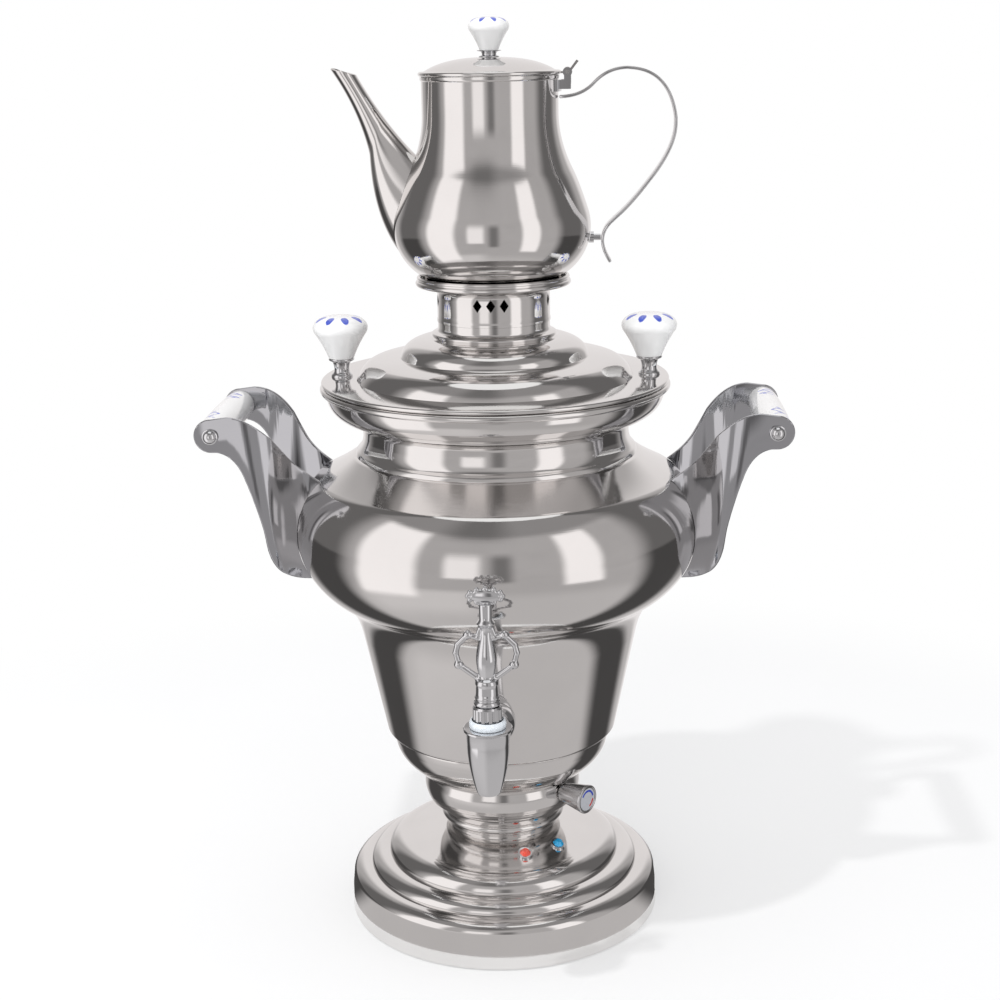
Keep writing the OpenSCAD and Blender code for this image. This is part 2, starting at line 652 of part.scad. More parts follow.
module tap_nut() color("#c8a24a") {
    translate([0, -ring_r + 7, tap_z]) rotate([90, 0, 0]) difference() {
        cylinder(r = 11, h = 5, $fn = 6);
        translate([0, 0, -1]) cylinder(r = shank_r + loose / 2, h = 7);
    }
}

module tap_seal() color("#e9eef2") at_tap(spout_top_z) difference() {
    rotate_extrude() polygon(concat([[0, 0], [9.4, 0]], bend([9.8, 0.4], [10.2, 3], [9.5, seal_h - 1], 4),
        [[8.8, seal_h - 0.1], [0, seal_h - 0.1]]));
    translate([0, 0, -1]) cylinder(r = plug_r + 1.4 + loose / 2, h = seal_h + 2);
}

// a nut with finger flutes that keeps the plug in its bore
module tap_collar() color("#b9b7b6") at_tap(key_z) difference() {
    rotate_extrude() polygon([[0, 0], [7.9, 0], [7.9, collar_h - 1], [7.2, collar_h], [0, collar_h]]);
    translate([0, 0, -1]) cylinder(r = 5.1 + running, h = collar_h + 2);
    for (a = [0:30:330]) rotate([0, 0, a]) disc_at([8.5, 0, -1], 1.3, collar_h - 0.4, $fn = 24);
}

// ---- tap key: the ground plug, and a cast key with two open scrolls and a beaded crown ----
key_ring_z = key_z + collar_h + 0.3;
tenon_r = 3;
tenon_h = 12;
module tap_plug() color("#b9b7b6") {
    difference() {
        at_tap(0) rotate_extrude() polygon([[0, bore_floor_z + 0.3], [plug_r, bore_floor_z + 0.3],
            [plug_r, key_z - 0.1], [5.1, key_z - 0.1], [5.1, key_ring_z], [tenon_r, key_ring_z],
            [tenon_r, key_ring_z + tenon_h], [0, key_ring_z + tenon_h]]);
        at_tap(bore_floor_z - 1) cylinder(r = water_r - 0.2, h = tap_z - bore_floor_z + 1);
        at_tap(tap_z) rotate([0, 90, 0]) cylinder(r = water_r - 0.2, h = plug_r + 2);
    }
}

key_top_z = spout_top_z + key_h;
urn_z = key_z + 21.6;
// half of the scroll, from the stem's foot round to its shoulder
scroll = [[4, 1, 2], [key_half_w - 3.4, 9, 1.7], [key_half_w - 1.9, 15.5, 1.5], [key_half_w - 3, 20, 1.6],
          [9.6, 25.5, 1.7], [4.6, 24, 1.6], [2.6, 30, 1.5]];
bead_at = [[4, 1, 2.3], [key_half_w - 3.4, 9, 2.6], [key_half_w - 1.9, 15.5, 1.75],
           [key_half_w - 3, 20, 1.8], [9.6, 25.5, 2.5], [4.6, 24, 1.8], [2.6, 30, 1.6]];
module tap_key() color("#b9b7b6") at_tap(0) difference() {
    union() {
        rotate_extrude() polygon(concat(
            [[0, key_ring_z + 0.1], [6.8, key_ring_z + 0.1], [7.4, key_ring_z + 1.2],
             [6.8, key_ring_z + 2.6], [5.9, key_ring_z + 3], [6.9, key_ring_z + 4.4],
             [6.1, key_ring_z + 5.8], [5.9, urn_z - 2.6], [6.4, urn_z - 1.6], [6.2, urn_z + 0.6],
             [4.2, urn_z + 2]],
            bend([4.2, urn_z + 3], [6.8, urn_z + 12], [4.4, urn_z + 20], 8),
            bend([4.2, urn_z + 21], [2, urn_z + 27], [3.6, urn_z + 30], 4),
            [[5.2, urn_z + 32], [3.4, urn_z + 34.5], [3.6, key_top_z - 9.4], [0, key_top_z - 9.4]]));
        for (side = [-1, 1]) {
            for (i = [1:6])
                rod([side * scroll[i - 1][0], 0, urn_z + scroll[i - 1][1]],
                    [side * scroll[i][0], 0, urn_z + scroll[i][1]], scroll[i][2]);
            for (b = bead_at) translate([side * b[0], 0, urn_z + b[1]]) sphere(r = b[2], $fn = 16);
        }
        translate([0, 2.2, key_top_z - 5.2]) rotate([90, 0, 0]) linear_extrude(4.4)
            polygon([for (a = [0:12:348]) [8.4 * cos(a), 3.9 * sin(a)]]);
        for (a = [0:30:330]) translate([9.2 * cos(a), 0, key_top_z - 5.2 + 4 * sin(a)])
            sphere(r = 1.45, $fn = 16);
    }
    disc_at([0, 0, key_ring_z - 1], tenon_r + loose / 2, tenon_h + 1.1);
}

// ---- urn handles: two S-shaped cheeks each side, a porcelain grip between them ----
// outline of a cheek seen from the front, x outwards from the urn's axis
cheek_outline = concat(
    arc([grip_reach, grip_z], cheek_end_r, -90, 90, 14),
    bend([grip_reach - 9, grip_z + cheek_end_r + 1.2], [grip_reach - 22, grip_z + cheek_end_r + 1],
         [grip_reach - 34, grip_z - 3.5], 7),
    bend([grip_reach - 42, grip_z - 16], [grip_reach - 47, grip_z - 24], [belly_r - 22, grip_z - 34], 4),
    [[belly_r - 26, grip_z - 40], [belly_r - 26, belly_z - 29], [belly_r - 16, belly_z - 27]],
    bend([belly_r - 11, belly_z - 25.6], [grip_reach - 31, belly_z - 24],
         [grip_reach - 28.4, grip_z - 62], 9),
    bend([grip_reach - 27.4, grip_z - 56], [grip_reach - 24.6, grip_z - 44],
         [grip_reach - 19.6, grip_z - 29], 4),
    bend([grip_reach - 18.6, grip_z - 26.4], [grip_reach - 13.6, grip_z - cheek_end_r - 1.6],
         [grip_reach - 3, grip_z - cheek_end_r], 6));
// line of a cheek seen from above, from the grip in to the belly
cheek_plan = concat(
    [[grip_reach + cheek_end_r + 1, cheek_half_span], [grip_reach - 12, cheek_half_span]],
    bend([grip_reach - 16, cheek_half_span], [grip_reach - 27, cheek_half_span],
         [grip_reach - 36, cheek_half_span - 8], 6),
    bend([grip_reach - 38, cheek_half_span - 10], [grip_reach - 46, pad_half + cheek_t + 3],
         [belly_r - 12, pad_half + cheek_t + 2], 5),
    [[belly_r - 30, pad_half + cheek_t + 0.5]]);

module cheek() {
    difference() {
        union() {
            intersection() {
                rotate([90, 0, 0]) linear_extrude(100) polygon(cheek_outline);
                mirror([0, 1, 0]) translate([0, 0, belly_z - 60]) linear_extrude(200)
                    polygon(strip(cheek_plan, cheek_t));
            }
            intersection() {
                tank_outside(skin_gap + foot_t);
                translate([60, -pad_half - cheek_t - 3, belly_z - 14])
                    cube([80, pad_half + cheek_t - 3, 28]);
            }
        }
        tank_outside(skin_gap);
        translate([belly_r - 20, -handle_bolt_y, belly_z]) rotate([0, 90, 0])
            cylinder(r = screw_r + loose, h = 40);
        translate([grip_reach, 0, grip_z]) rotate([90, 0, 0]) {
            cylinder(r = rod_r + loose, h = 100);
            translate([0, 0, cheek_half_span - 0.6]) ring(6.4, 4.6, 10);
        }
    }
}
module placed_cheek(side, front)
    color("#9b999b") mirror([side < 0 ? 1 : 0, 0, 0]) mirror([0, front ? 0 : 1, 0]) cheek();
module left_front_cheek() placed_cheek(-1, true);
module left_back_cheek() placed_cheek(-1, false);
module right_front_cheek() placed_cheek(1, true);
module right_back_cheek() placed_cheek(1, false);

module grip(side) color("#f4f3f0") {
    translate([side * grip_reach, grip_half - 0.1, grip_z]) rotate([90, 0, 0]) difference() {
        l = 2 * grip_half - 0.2;
        rotate_extrude() polygon(concat([[0, 0]], [[grip_r - 1.2, 0]],
            bend([grip_r - 0.7, 0.6], [grip_r + 0.7, l / 2], [grip_r - 0.7, l - 0.6], 12),
            [[grip_r - 1.2, l], [0, l]]));
        translate([0, 0, -1]) cylinder(r = rod_r + loose, h = l + 2);
    }
}
module grips() { grip(-1); grip(1); }

module grip_rods() color("#9a9a9a") for (side = [-1, 1])
    translate([side * grip_reach, cheek_half_span + 2.6, grip_z]) rotate([90, 0, 0])
        cylinder(r = rod_r, h = 2 * cheek_half_span + 5.2);

module dome_nuts() for (side = [-1, 1], end = [-1, 1])
    translate([side * grip_reach, end * (cheek_half_span + 0.05), grip_z]) rotate([-90 * end, 0, 0])
        difference() {
            rotate_extrude() polygon(concat([[0, 0], [4.4, 0], [4.4, 1.6]],
                [for (a = [0:15:90]) [3.9 * cos(a), 1.9 + 3.2 * sin(a)]]));
            translate([0, 0, -1]) cylinder(r = rod_r + 0.02, h = 3.6);
        }

// bolts that hold the cheeks' feet on the belly, with the nuts inside the tank
bolt_seat = sqrt(pow(belly_r + skin_gap + foot_t, 2) - pow(handle_bolt_y - 4, 2)) + 0.05;
bolt_end = sqrt(pow(belly_r - sheet, 2) - pow(handle_bolt_y + 4, 2)) - 0.8;
module at_handle_bolts(x) for (side = [-1, 1], y = [-handle_bolt_y, handle_bolt_y])
    translate([side * x, y, belly_z]) rotate([0, side * 90, 0]) children();
module handle_bolts() color("#b9b7b6") at_handle_bolts(bolt_seat) {
    rotate_extrude() polygon(concat([[0, 0], [4, 0], [4, 0.6]],
        [for (a = [0:15:90]) [3.8 * cos(a), 0.7 + 1.9 * sin(a)]]));
    translate([0, 0, bolt_end - bolt_seat - 5.5]) cylinder(r = screw_r, h = bolt_seat - bolt_end + 5.6);
}
module handle_nuts() color("#b9b7b6") {
    dome_nuts();
    at_handle_bolts(bolt_end - 3.4) difference() {
        cylinder(r = 3.9, h = 3.4, $fn = 6);
        translate([0, 0, -1]) cylinder(r = screw_r + loose / 2, h = 6);
    }
}

// ---- lid ----
module lid_cover() color("#c9c6c4") difference() {
    union() {
        turned_part(lid_path, 0, lid_seam);
        translate([0, 0, lid_z - 5]) ring(rim_r - 5.4, rim_r - 6.4, 7);
    }
    for (x = [-lid_knob_reach, lid_knob_reach]) disc_at([x, 0, lid_z - 2], screw_r + loose, 8);
}
module lid_neck() color("#c9c6c4") turned_part(lid_path, lid_seam, len(lid_path) - 1);

// a porcelain knob of largest radius r, standing on its ferrule
module knob_body(r) {
    k = r / 16;
    difference() {
        rotate_extrude() polygon(k * concat([[0, 0]],
            bend([7.3, 0], [10.4, 8], [15.3, 15], 8), bend([15.7, 16], [17, 20], [12.5, 22.8], 6),
            bend([11.6, 23.3], [7, 25], [0, 25], 5)));
        translate([0, 0, -1]) cylinder(r = screw_r + 0.02, h = 10.3 * k + 1);
    }
}
module ferrule(k, h) difference() {
    rotate_extrude() polygon(concat(
        [[0, 0], [ferrule_foot_r * k, 0], [6.1 * k, h * 0.12], [5.3 * k, h * 0.18]],
        bend([4.6 * k, h * 0.26], [3.9 * k, h * 0.5], [5.4 * k, h * 0.8], 6),
        [[7.2 * k, h * 0.88], [7.5 * k, h * 0.94], [7.2 * k, h], [0, h]]));
    translate([0, 0, -1]) cylinder(r = screw_r + loose, h = h + 2);
}
module at_lid_knobs(z) for (x = [-lid_knob_reach, lid_knob_reach]) translate([x, 0, z]) children();
module lid_ferrules() color("#9b999b") at_lid_knobs(lid_top_z + 0.1) ferrule(1, ferrule_h);
module lid_knobs() color("#f4f3f0") at_lid_knobs(lid_top_z + ferrule_h + 0.2) knob_body(lid_knob_r);
module lid_screws() color("#9a9a9a") at_lid_knobs(lid_top_z - sheet - 1.8) {
    cylinder(r = screw_r + 1.2, h = 1.7);
    cylinder(r = screw_r, h = sheet + 1.8 + ferrule_h + 8);
}

// ---- teapot stand: a sleeve with groups of diamond vents, opening into a dish ----
stand_path = concat(
    [[sleeve_r, sleeve_z], [sleeve_r, sleeve_z + 1.6], [sleeve_r - 0.3, sleeve_z + 2],
     [sleeve_r - 0.3, dish_z - 1]],
    bend([sleeve_r, dish_z], [sleeve_r + 1, dish_z + 3.4], [dish_r - 3.4, dish_z + 3.8], 6),
    arc([dish_r - 1.7, dish_z + 5], 1.7, -60, 60, 6),
    arc([dish_r - 1.9, dish_z + 7.9], 1.1, -40, 120, 6));
module teapot_stand() color("#c9c6c4") {
    difference() {
        union() {
            turned(stand_path, 1);
            translate([0, 0, dish_z + 4.8]) ring(dish_r - 3, sleeve_r - 3, 1.2);
        }
        for (group = [0:90:270], i = [0:vent_count - 1])
            rotate([0, 0, group + (i - (vent_count - 1) / 2) * (vent_w + 2.3) / sleeve_r * 57.3])
                translate([0, 0, sleeve_z + sleeve_h * 0.72]) rotate([90, 0, 0])
                    linear_extrude(sleeve_r + 2)
                        polygon([[vent_w / 2, 0], [0, vent_h / 2], [-vent_w / 2, 0], [0, -vent_h / 2]]);
    }
}

// ---- teapot ----
module teapot_body() color("#c9c6c4") {
    difference() {
        turned(pot_path, pot_sheet);
        for (row = [-3:3], col = [-1:1])
            translate([-pot_c, col * 5, pot_z + pot_belly_z + 4 + row * 5.2])
                rotate([0, -90, 0]) cylinder(r = 1.5, h = 60, $fn = 24);
    }
}

// a point beside the teapot, which follows the teapot's belly, neck and height
function by_pot(p) = let (t = (p[1] - 387.6) / 113.4)
    [p[0] * ((1 - t) * pot_r / 56.1 + t * pot_neck_r / 38.3), pot_z + t * pot_h];
// the spout's lower and upper edges, from its mouth down to its root
function spout_low(t) = t < 0.45
    ? quad([-89, 506.1], [-73.8, 484], [-68.5, 459], t / 0.45)
    : quad([-68.5, 459], [-68, 416], [-45, 394], (t - 0.45) / 0.55);
function spout_high(t) = quad([-74.5, 502.6], [-58.5, 474], [-40, 456], t);
function quad(p, q, s, t) = (1 - t) * (1 - t) * p + 2 * t * (1 - t) * q + t * t * s;
module spout_solid(wall, grow) {
    rings = 14;
    sides = 24;
    function section(i) =
        let (t = min(1, i / rings), in = i > rings ? 22 : 0, up = i < 0 ? 6 : 0,
             lo = by_pot(spout_low(max(0, t))) + [in, up], hi = by_pot(spout_high(max(0, t))) + [in, up],
             mid = (lo + hi) / 2, a = norm(lo - hi) / 2 - wall, b = 6.6 + 9 * t * t - wall,
             d = unit(lo - hi))
        [for (k = [0:sides - 1]) let (w = 360 * k / sides)
            [mid[0] + d[0] * a * cos(w), b * sin(w), mid[1] + d[1] * a * cos(w)]];
    from = -grow;
    count = rings + 1 + grow;
    points = [for (i = [from:rings + 1]) each section(i)];
    polyhedron(points, concat(
        [[for (k = [0:sides - 1]) k]],
        [for (i = [0:count - 1], k = [0:sides - 1])
            let (a = i * sides + k, b = i * sides + (k + 1) % sides) [b, a, a + sides]],
        [for (i = [0:count - 1], k = [0:sides - 1])
            let (a = i * sides + k, b = i * sides + (k + 1) % sides) [b, a + sides, b + sides]],
        [[for (k = [sides - 1:-1:0]) count * sides + k]]));
}
module teapot_spout() color("#c9c6c4") {
    difference() {
        spout_solid(0, 0);
        spout_solid(pot_sheet, 1);
        pot_outside(skin_gap);
    }
}

strap_path = [for (p = concat(
    [[36, 490]], bend([38.9, 490], [50, 490], [56.5, 496], 5),
    bend([57.5, 497], [65.5, 505.3], [77, 505.2], 6),
    bend([79, 505], [101, 503], [104.4, 477], 9),
    bend([104.4, 474], [104.4, 461], [91, 444], 6),
    bend([89.4, 442], [79, 428.5], [70, 421], 5),
    bend([69, 420], [58.6, 411.5], [67.8, 397.7], 7))) by_pot(p)];
module teapot_handle() color("#b9b7b6") {
    difference() {
        translate([0, strap_w / 2, 0]) rotate([90, 0, 0]) linear_extrude(strap_w)
            polygon(strip(strap_path, -strap_t));
        pot_outside(skin_gap);
    }
}

standoff_z = pot_z + 0.2063 * pot_h;
module handle_standoff() color("#b9b7b6") {
    difference() {
        translate([0, 0, standoff_z]) rotate([0, 90, 0]) {
            translate([0, 0, pot_r - 6]) cylinder(r = 3.2, h = 7.6, $fn = 32);
            cylinder(r = 1.8, h = strap_path[40][0] - strap_t - 0.35, $fn = 32);
        }
        pot_outside(skin_gap);
    }
}

// ---- teapot hinge ----
module knuckle(y0, y1) translate([hinge_x, y0, hinge_z]) rotate([-90, 0, 0])
    cylinder(r = knuckle_r, h = y1 - y0, $fn = 48);
module hinge_bore(r) translate([hinge_x, -20, hinge_z]) rotate([-90, 0, 0])
    cylinder(r = r, h = 40, $fn = 48);
module hinge_bracket() color("#b9b7b6") {
    difference() {
        union() {
            intersection() {
                translate([0, 0, strap_end_z + 2.2]) ring(pot_neck_r + 1.8, pot_neck_r + skin_gap, 6.2);
                translate([20, -13, strap_end_z]) cube([30, 26, 20]);
            }
            for (y = [4.2, -8.2]) {
                knuckle(y, y + 4);
                translate([pot_neck_r + 1, y, strap_end_z + 3.4]) cube([6, 4, 5]);
                translate([hinge_x - 1.9, y, strap_end_z + 6]) cube([3.8, 4, hinge_z - strap_end_z - 6]);
            }
        }
        hinge_bore(pin_r + 0.02);
    }
}
module hinge_pin() color("#9a9a9a") translate([hinge_x, -9, hinge_z]) rotate([-90, 0, 0])
    cylinder(r = pin_r, h = 18, $fn = 48);

module teapot_lid() color("#c9c6c4") {
    difference() {
        union() {
            turned(concat(arc([pot_neck_r + 0.5, pot_lid_z + 1.2], 1.2, -80, 90, 6),
                [[pot_neck_r - 1, pot_lid_z + 2.5]],
                bend([pot_neck_r - 2, pot_lid_z + 2.8], [26, pot_lid_z + pot_lid_h + 1],
                     [7, pot_lid_z + 1.6 + pot_lid_h], 10),
                [[0, pot_lid_z + 1.6 + pot_lid_h]]), pot_sheet);
            translate([0, 0, pot_lid_z - 4])
                ring(pot_neck_r - pot_sheet - 0.5, pot_neck_r - pot_sheet - 1.4, 5.9);
            knuckle(-4, 4);
            translate([pot_neck_r, -3.4, pot_lid_z + 0.5]) cube([hinge_x - pot_neck_r, 6.8, 1.1]);
            translate([hinge_x, 3, hinge_z]) rotate([90, 0, 0]) linear_extrude(6)
                polygon([[1, 1.2], [2.2, 0.6], [6.2, 5.6], [5, 6.4]]);
        }
        hinge_bore(pin_r + running);
        disc_at([0, 0, pot_lid_z], screw_r + loose, 20);
        disc_at([26, 0, pot_lid_z], 1.2, 20, $fn = 24);
    }
}
pot_knob_k = pot_knob_r / 16;
pot_ferrule_h = 3.7;
pot_ferrule_z = pot_lid_z + 1.7 + pot_lid_h;
module teapot_ferrule() color("#9b999b") translate([0, 0, pot_ferrule_z]) ferrule(0.92, pot_ferrule_h);
module teapot_knob() color("#f4f3f0") translate([0, 0, pot_ferrule_z + pot_ferrule_h + 0.1])
    knob_body(pot_knob_r);
module teapot_screw() color("#9a9a9a") translate([0, 0, pot_ferrule_z - pot_sheet - 1.8]) {
    cylinder(r = screw_r + 1.6, h = 1.6);
    cylinder(r = screw_r, h = pot_sheet + 1.8 + pot_ferrule_h + 6);
}

on_axis() base_shell();
on_axis() base_plate();
on_axis() rubber_feet();
on_axis() foot_screws();
on_axis() cord_grommet();
on_axis() terminal_block();
on_axis() red_lamp();
on_axis() blue_lamp();
on_axis() lamp_bezels();
on_axis() lamp_nuts();
on_axis() pedestal();
on_axis() clamp_plate();
on_axis() tie_stud();
on_axis() tie_nut();
on_axis() heater_housing();
on_axis() thermostat_body();
on_axis() thermostat_bush();
on_axis() thermal_cutout();
on_axis() inner_leads();
on_axis() tank_floor();
on_axis() tank_bowl();
on_axis() tank_belly();
on_axis() tank_neck();
on_axis() heater_element();
on_axis() heater_seals();
on_axis() heater_nuts();
on_axis() tap_escutcheon();
on_axis() tap_body();
on_axis() tap_washer();
on_axis() tap_nut();
on_axis() tap_seal();
on_axis() tap_collar();
on_axis() left_front_cheek();
on_axis() left_back_cheek();
on_axis() right_front_cheek();
on_axis() right_back_cheek();
on_axis() grips();
on_axis() grip_rods();
on_axis() handle_bolts();
on_axis() handle_nuts();
on_axis() tap_plug();
on_axis() tap_key();
on_axis() thermostat_knob();
on_axis() thermostat_spindle();
on_axis() lid_cover();
on_axis() lid_neck();
on_axis() lid_ferrules();
on_axis() lid_knobs();
on_axis() lid_screws();
on_axis() teapot_stand();
on_axis() teapot_body();
on_axis() teapot_spout();
on_axis() teapot_handle();
on_axis() handle_standoff();
on_axis() hinge_bracket();
on_axis() hinge_pin();
on_axis() teapot_lid();
on_axis() teapot_ferrule();
on_axis() teapot_knob();
on_axis() teapot_screw();
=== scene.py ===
import bpy
import bmesh
from math import sin, cos, radians, pi, asin, atan2, sqrt
from mathutils import Vector, Matrix


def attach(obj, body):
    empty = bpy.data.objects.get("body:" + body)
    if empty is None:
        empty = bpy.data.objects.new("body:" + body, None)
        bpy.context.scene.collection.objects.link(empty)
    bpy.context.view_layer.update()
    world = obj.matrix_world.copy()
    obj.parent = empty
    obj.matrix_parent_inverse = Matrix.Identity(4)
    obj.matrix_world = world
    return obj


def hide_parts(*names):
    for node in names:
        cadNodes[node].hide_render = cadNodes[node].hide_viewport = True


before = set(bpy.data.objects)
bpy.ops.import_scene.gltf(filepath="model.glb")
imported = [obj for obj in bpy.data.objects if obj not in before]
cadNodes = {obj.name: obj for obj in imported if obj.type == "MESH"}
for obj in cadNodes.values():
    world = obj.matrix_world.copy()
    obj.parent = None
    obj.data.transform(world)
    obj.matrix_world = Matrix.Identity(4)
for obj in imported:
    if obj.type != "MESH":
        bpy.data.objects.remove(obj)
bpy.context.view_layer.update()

axisY = 0.0145  # the samovar's own axis stands this far behind the frame's origin
onAxis = Matrix.Translation((0, axisY, 0)) @ Matrix.Scale(0.001, 4)
print("frame loaded:", len(cadNodes), "nodes")


# outlines are in mm: distance from the axis, and height
def arcPath(cx, cz, r, start, stop, steps=16):
    angles = [radians(start + (stop - start) * i / steps) for i in range(steps + 1)]
    return [(cx + r * cos(a), cz + r * sin(a)) for a in angles]


def bend(p, q, s, t):  # the point at t on a curve from p to s that is drawn towards q
    return tuple((1 - t) ** 2 * a + 2 * t * (1 - t) * b + t * t * c for a, b, c in zip(p, q, s))


def bendPath(p, q, s, steps=16):
    return [bend(p, q, s, i / steps) for i in range(steps + 1)]


def rollPath(p, q, steps=20):  # leaves p upright and reaches q level
    return [(q[0] + (p[0] - q[0]) * cos(pi / 2 * i / steps),
             p[1] + (q[1] - p[1]) * sin(pi / 2 * i / steps)) for i in range(1, steps + 1)]


def offsetPath(path, t):  # the same outline moved to its left
    def left(a, b):
        d = Vector((b[0] - a[0], b[1] - a[1])).normalized()
        return Vector((-d.y, d.x))
    moved = []
    last = len(path) - 1
    for i, p in enumerate(path):
        a = left(path[max(0, i - 1)], path[max(1, i)])
        b = left(path[min(i, last - 1)], path[min(i + 1, last)])
        m = (a + b).normalized()
        k = t / max(0.5, m.dot(a))
        moved.append((p[0] + m.x * k, p[1] + m.y * k))
    return moved


def sheetLoop(path, t):
    return path + offsetPath(path, t)[::-1]


# making and finishing meshes
def newVerts(bm, count):
    bm.verts.ensure_lookup_table()
    return bm.verts[count:]


def spin(bm, path, steps=128, closed=False, place=None, angle=2 * pi):
    count = len(bm.verts)
    verts = [bm.verts.new((x, 0, z)) for x, z in path]
    edges = [bm.edges.new(pair) for pair in zip(verts, verts[1:])]
    if closed:
        edges.append(bm.edges.new((verts[-1], verts[0])))
    full = angle > 6.28
    bmesh.ops.spin(bm, geom=verts + edges, cent=(0, 0, 0), axis=(0, 0, 1), dvec=(0, 0, 0), angle=angle,
                   steps=steps, use_merge=full, use_normal_flip=False, use_duplicate=False)
    made = newVerts(bm, count)
    if place:
        bmesh.ops.transform(bm, matrix=place, verts=made)
    return made


def rod(bm, p, q, r, segments=24):
    p, q = Vector(p), Vector(q)
    way = q - p
    place = Matrix.Translation((p + q) / 2) @ way.to_track_quat("Z", "Y").to_matrix().to_4x4()
    bmesh.ops.create_cone(bm, cap_ends=True, segments=segments, radius1=r, radius2=r, depth=way.length,
                          matrix=place)


def bead(bm, p, r, segments=24, squash=None):
    place = Matrix.Translation(p) @ (Matrix.Diagonal((*squash, 1)) if squash else Matrix.Identity(4))
    bmesh.ops.create_uvsphere(bm, u_segments=segments, v_segments=segments // 2, radius=r, matrix=place)


def block(bm, low, high):
    low, high = Vector(low), Vector(high)
    place = Matrix.Translation((low + high) / 2) @ Matrix.Diagonal((*(high - low), 1))
    bmesh.ops.create_cube(bm, size=1, matrix=place)


def shade(mesh, sharp):
    bm = bmesh.new()
    bm.from_mesh(mesh)
    for f in bm.faces:
        f.smooth = True
    for e in bm.edges:
        if len(e.link_faces) == 2 and e.calc_face_angle(0) > radians(sharp):
            e.smooth = False
    bm.to_mesh(mesh)
    bm.free()


def baked(thing):  # the mesh with its modifiers applied
    bpy.context.view_layer.update()
    mesh = bpy.data.meshes.new_from_object(thing.evaluated_get(bpy.context.evaluated_depsgraph_get()))
    thing.modifiers.clear()
    old = thing.data
    thing.data = mesh
    bpy.data.meshes.remove(old)
    mesh.name = thing.name


def makeObject(bm, name, inMm=True):
    bmesh.ops.remove_doubles(bm, verts=bm.verts, dist=1e-4)
    bmesh.ops.recalc_face_normals(bm, faces=bm.faces)
    if inMm:
        bmesh.ops.transform(bm, matrix=onAxis, verts=bm.verts)
    mesh = bpy.data.meshes.new(name)
    bm.to_mesh(mesh)
    bm.free()
    thing = bpy.data.objects.new(name, mesh)
    bpy.context.scene.collection.objects.link(thing)
    return thing


def dress(thing, material, body, replaced=(), sharp=38):
    shade(thing.data, sharp)
    thing.data.materials.clear()
    thing.data.materials.append(material)
    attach(thing, body)
    if replaced:
        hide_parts(*replaced)
    return thing


def cut(thing, cutter):
    step = thing.modifiers.new("cut", "BOOLEAN")
    step.operation = "DIFFERENCE"
    step.solver = "EXACT"
    step.object = cutter
    baked(thing)


def discard(thing):
    mesh = thing.data
    bpy.data.objects.remove(thing)
    bpy.data.meshes.remove(mesh)


# shader nodes written as sums
class Wire:
    def __init__(self, sheet, out):
        self.sheet = sheet
        self.out = out

    def do(self, operation, *others):
        return self.sheet.node("ShaderNodeMath", {"operation": operation}, dict(enumerate((self, *others))))

    def __add__(self, o): return self.do("ADD", o)
    def __radd__(self, o): return self.do("ADD", o)
    def __sub__(self, o): return self.do("SUBTRACT", o)
    def __rsub__(self, o): return self.do("MULTIPLY", -1.0).do("ADD", o)
    def __mul__(self, o): return self.do("MULTIPLY", o)
    def __rmul__(self, o): return self.do("MULTIPLY", o)
    def __truediv__(self, o): return self.do("DIVIDE", o)
    def __lt__(self, o): return self.do("LESS_THAN", o)
    def __gt__(self, o): return self.do("GREATER_THAN", o)

    def soft(self, low, high):  # 0 below low, 1 above high
        return self.sheet.node("ShaderNodeMapRange", {"interpolation_type": "SMOOTHSTEP"},
                               {"Value": self, "From Min": low, "From Max": high})


class Finish:
    def __init__(self, name):
        self.material = bpy.data.materials.new(name)
        self.material.use_nodes = True
        self.tree = self.material.node_tree
        self.tree.nodes.clear()
        self.out = self.tree.nodes.new("ShaderNodeOutputMaterial")

    def node(self, kind, settings=None, sockets=None, out=0):
        made = self.tree.nodes.new(kind)
        for key, value in (settings or {}).items():
            setattr(made, key, value)
        for key, value in (sockets or {}).items():
            if isinstance(value, Wire):
                self.tree.links.new(value.out, made.inputs[key])
            else:
                made.inputs[key].default_value = value
        return Wire(self, made.outputs[out])

    def place(self):
        return self.node("ShaderNodeTexCoord", out="Object")

    def vector(self, operation, a, b, out=0):
        return self.node("ShaderNodeVectorMath", {"operation": operation}, {0: a, 1: b}, out)

    def moved(self, centre):  # object coordinates in mm about a centre given in metres
        return self.vector("MULTIPLY", self.vector("SUBTRACT", self.place(), centre), (1000, 1000, 1000))

    def parts(self, vector):
        split = self.tree.nodes.new("ShaderNodeSeparateXYZ")
        self.tree.links.new(vector.out, split.inputs[0])
        return [Wire(self, split.outputs[i]) for i in range(3)]

    def joined(self, x, y, z):
        return self.node("ShaderNodeCombineXYZ", None, {0: x, 1: y, 2: z})

    def noise(self, vector, scale, detail=2.0, rough=0.5):
        return self.node("ShaderNodeTexNoise", {"noise_dimensions": "3D"},
                         {"Vector": vector, "Scale": scale, "Detail": detail, "Roughness": rough})

    def mix(self, factor, a, b):
        return self.node("ShaderNodeMix", {"data_type": "RGBA"}, {0: factor, 6: a, 7: b}, out=2)

    def bump(self, height, strength, distance):
        sockets = {"Height": height, "Strength": strength, "Distance": distance}
        return self.node("ShaderNodeBump", None, sockets)

    def close(self, **sockets):
        named = {key.replace("_", " "): value for key, value in sockets.items()}
        shader = self.node("ShaderNodeBsdfPrincipled", None, named)
        self.tree.links.new(shader.out, self.out.inputs[0])
        return self.material


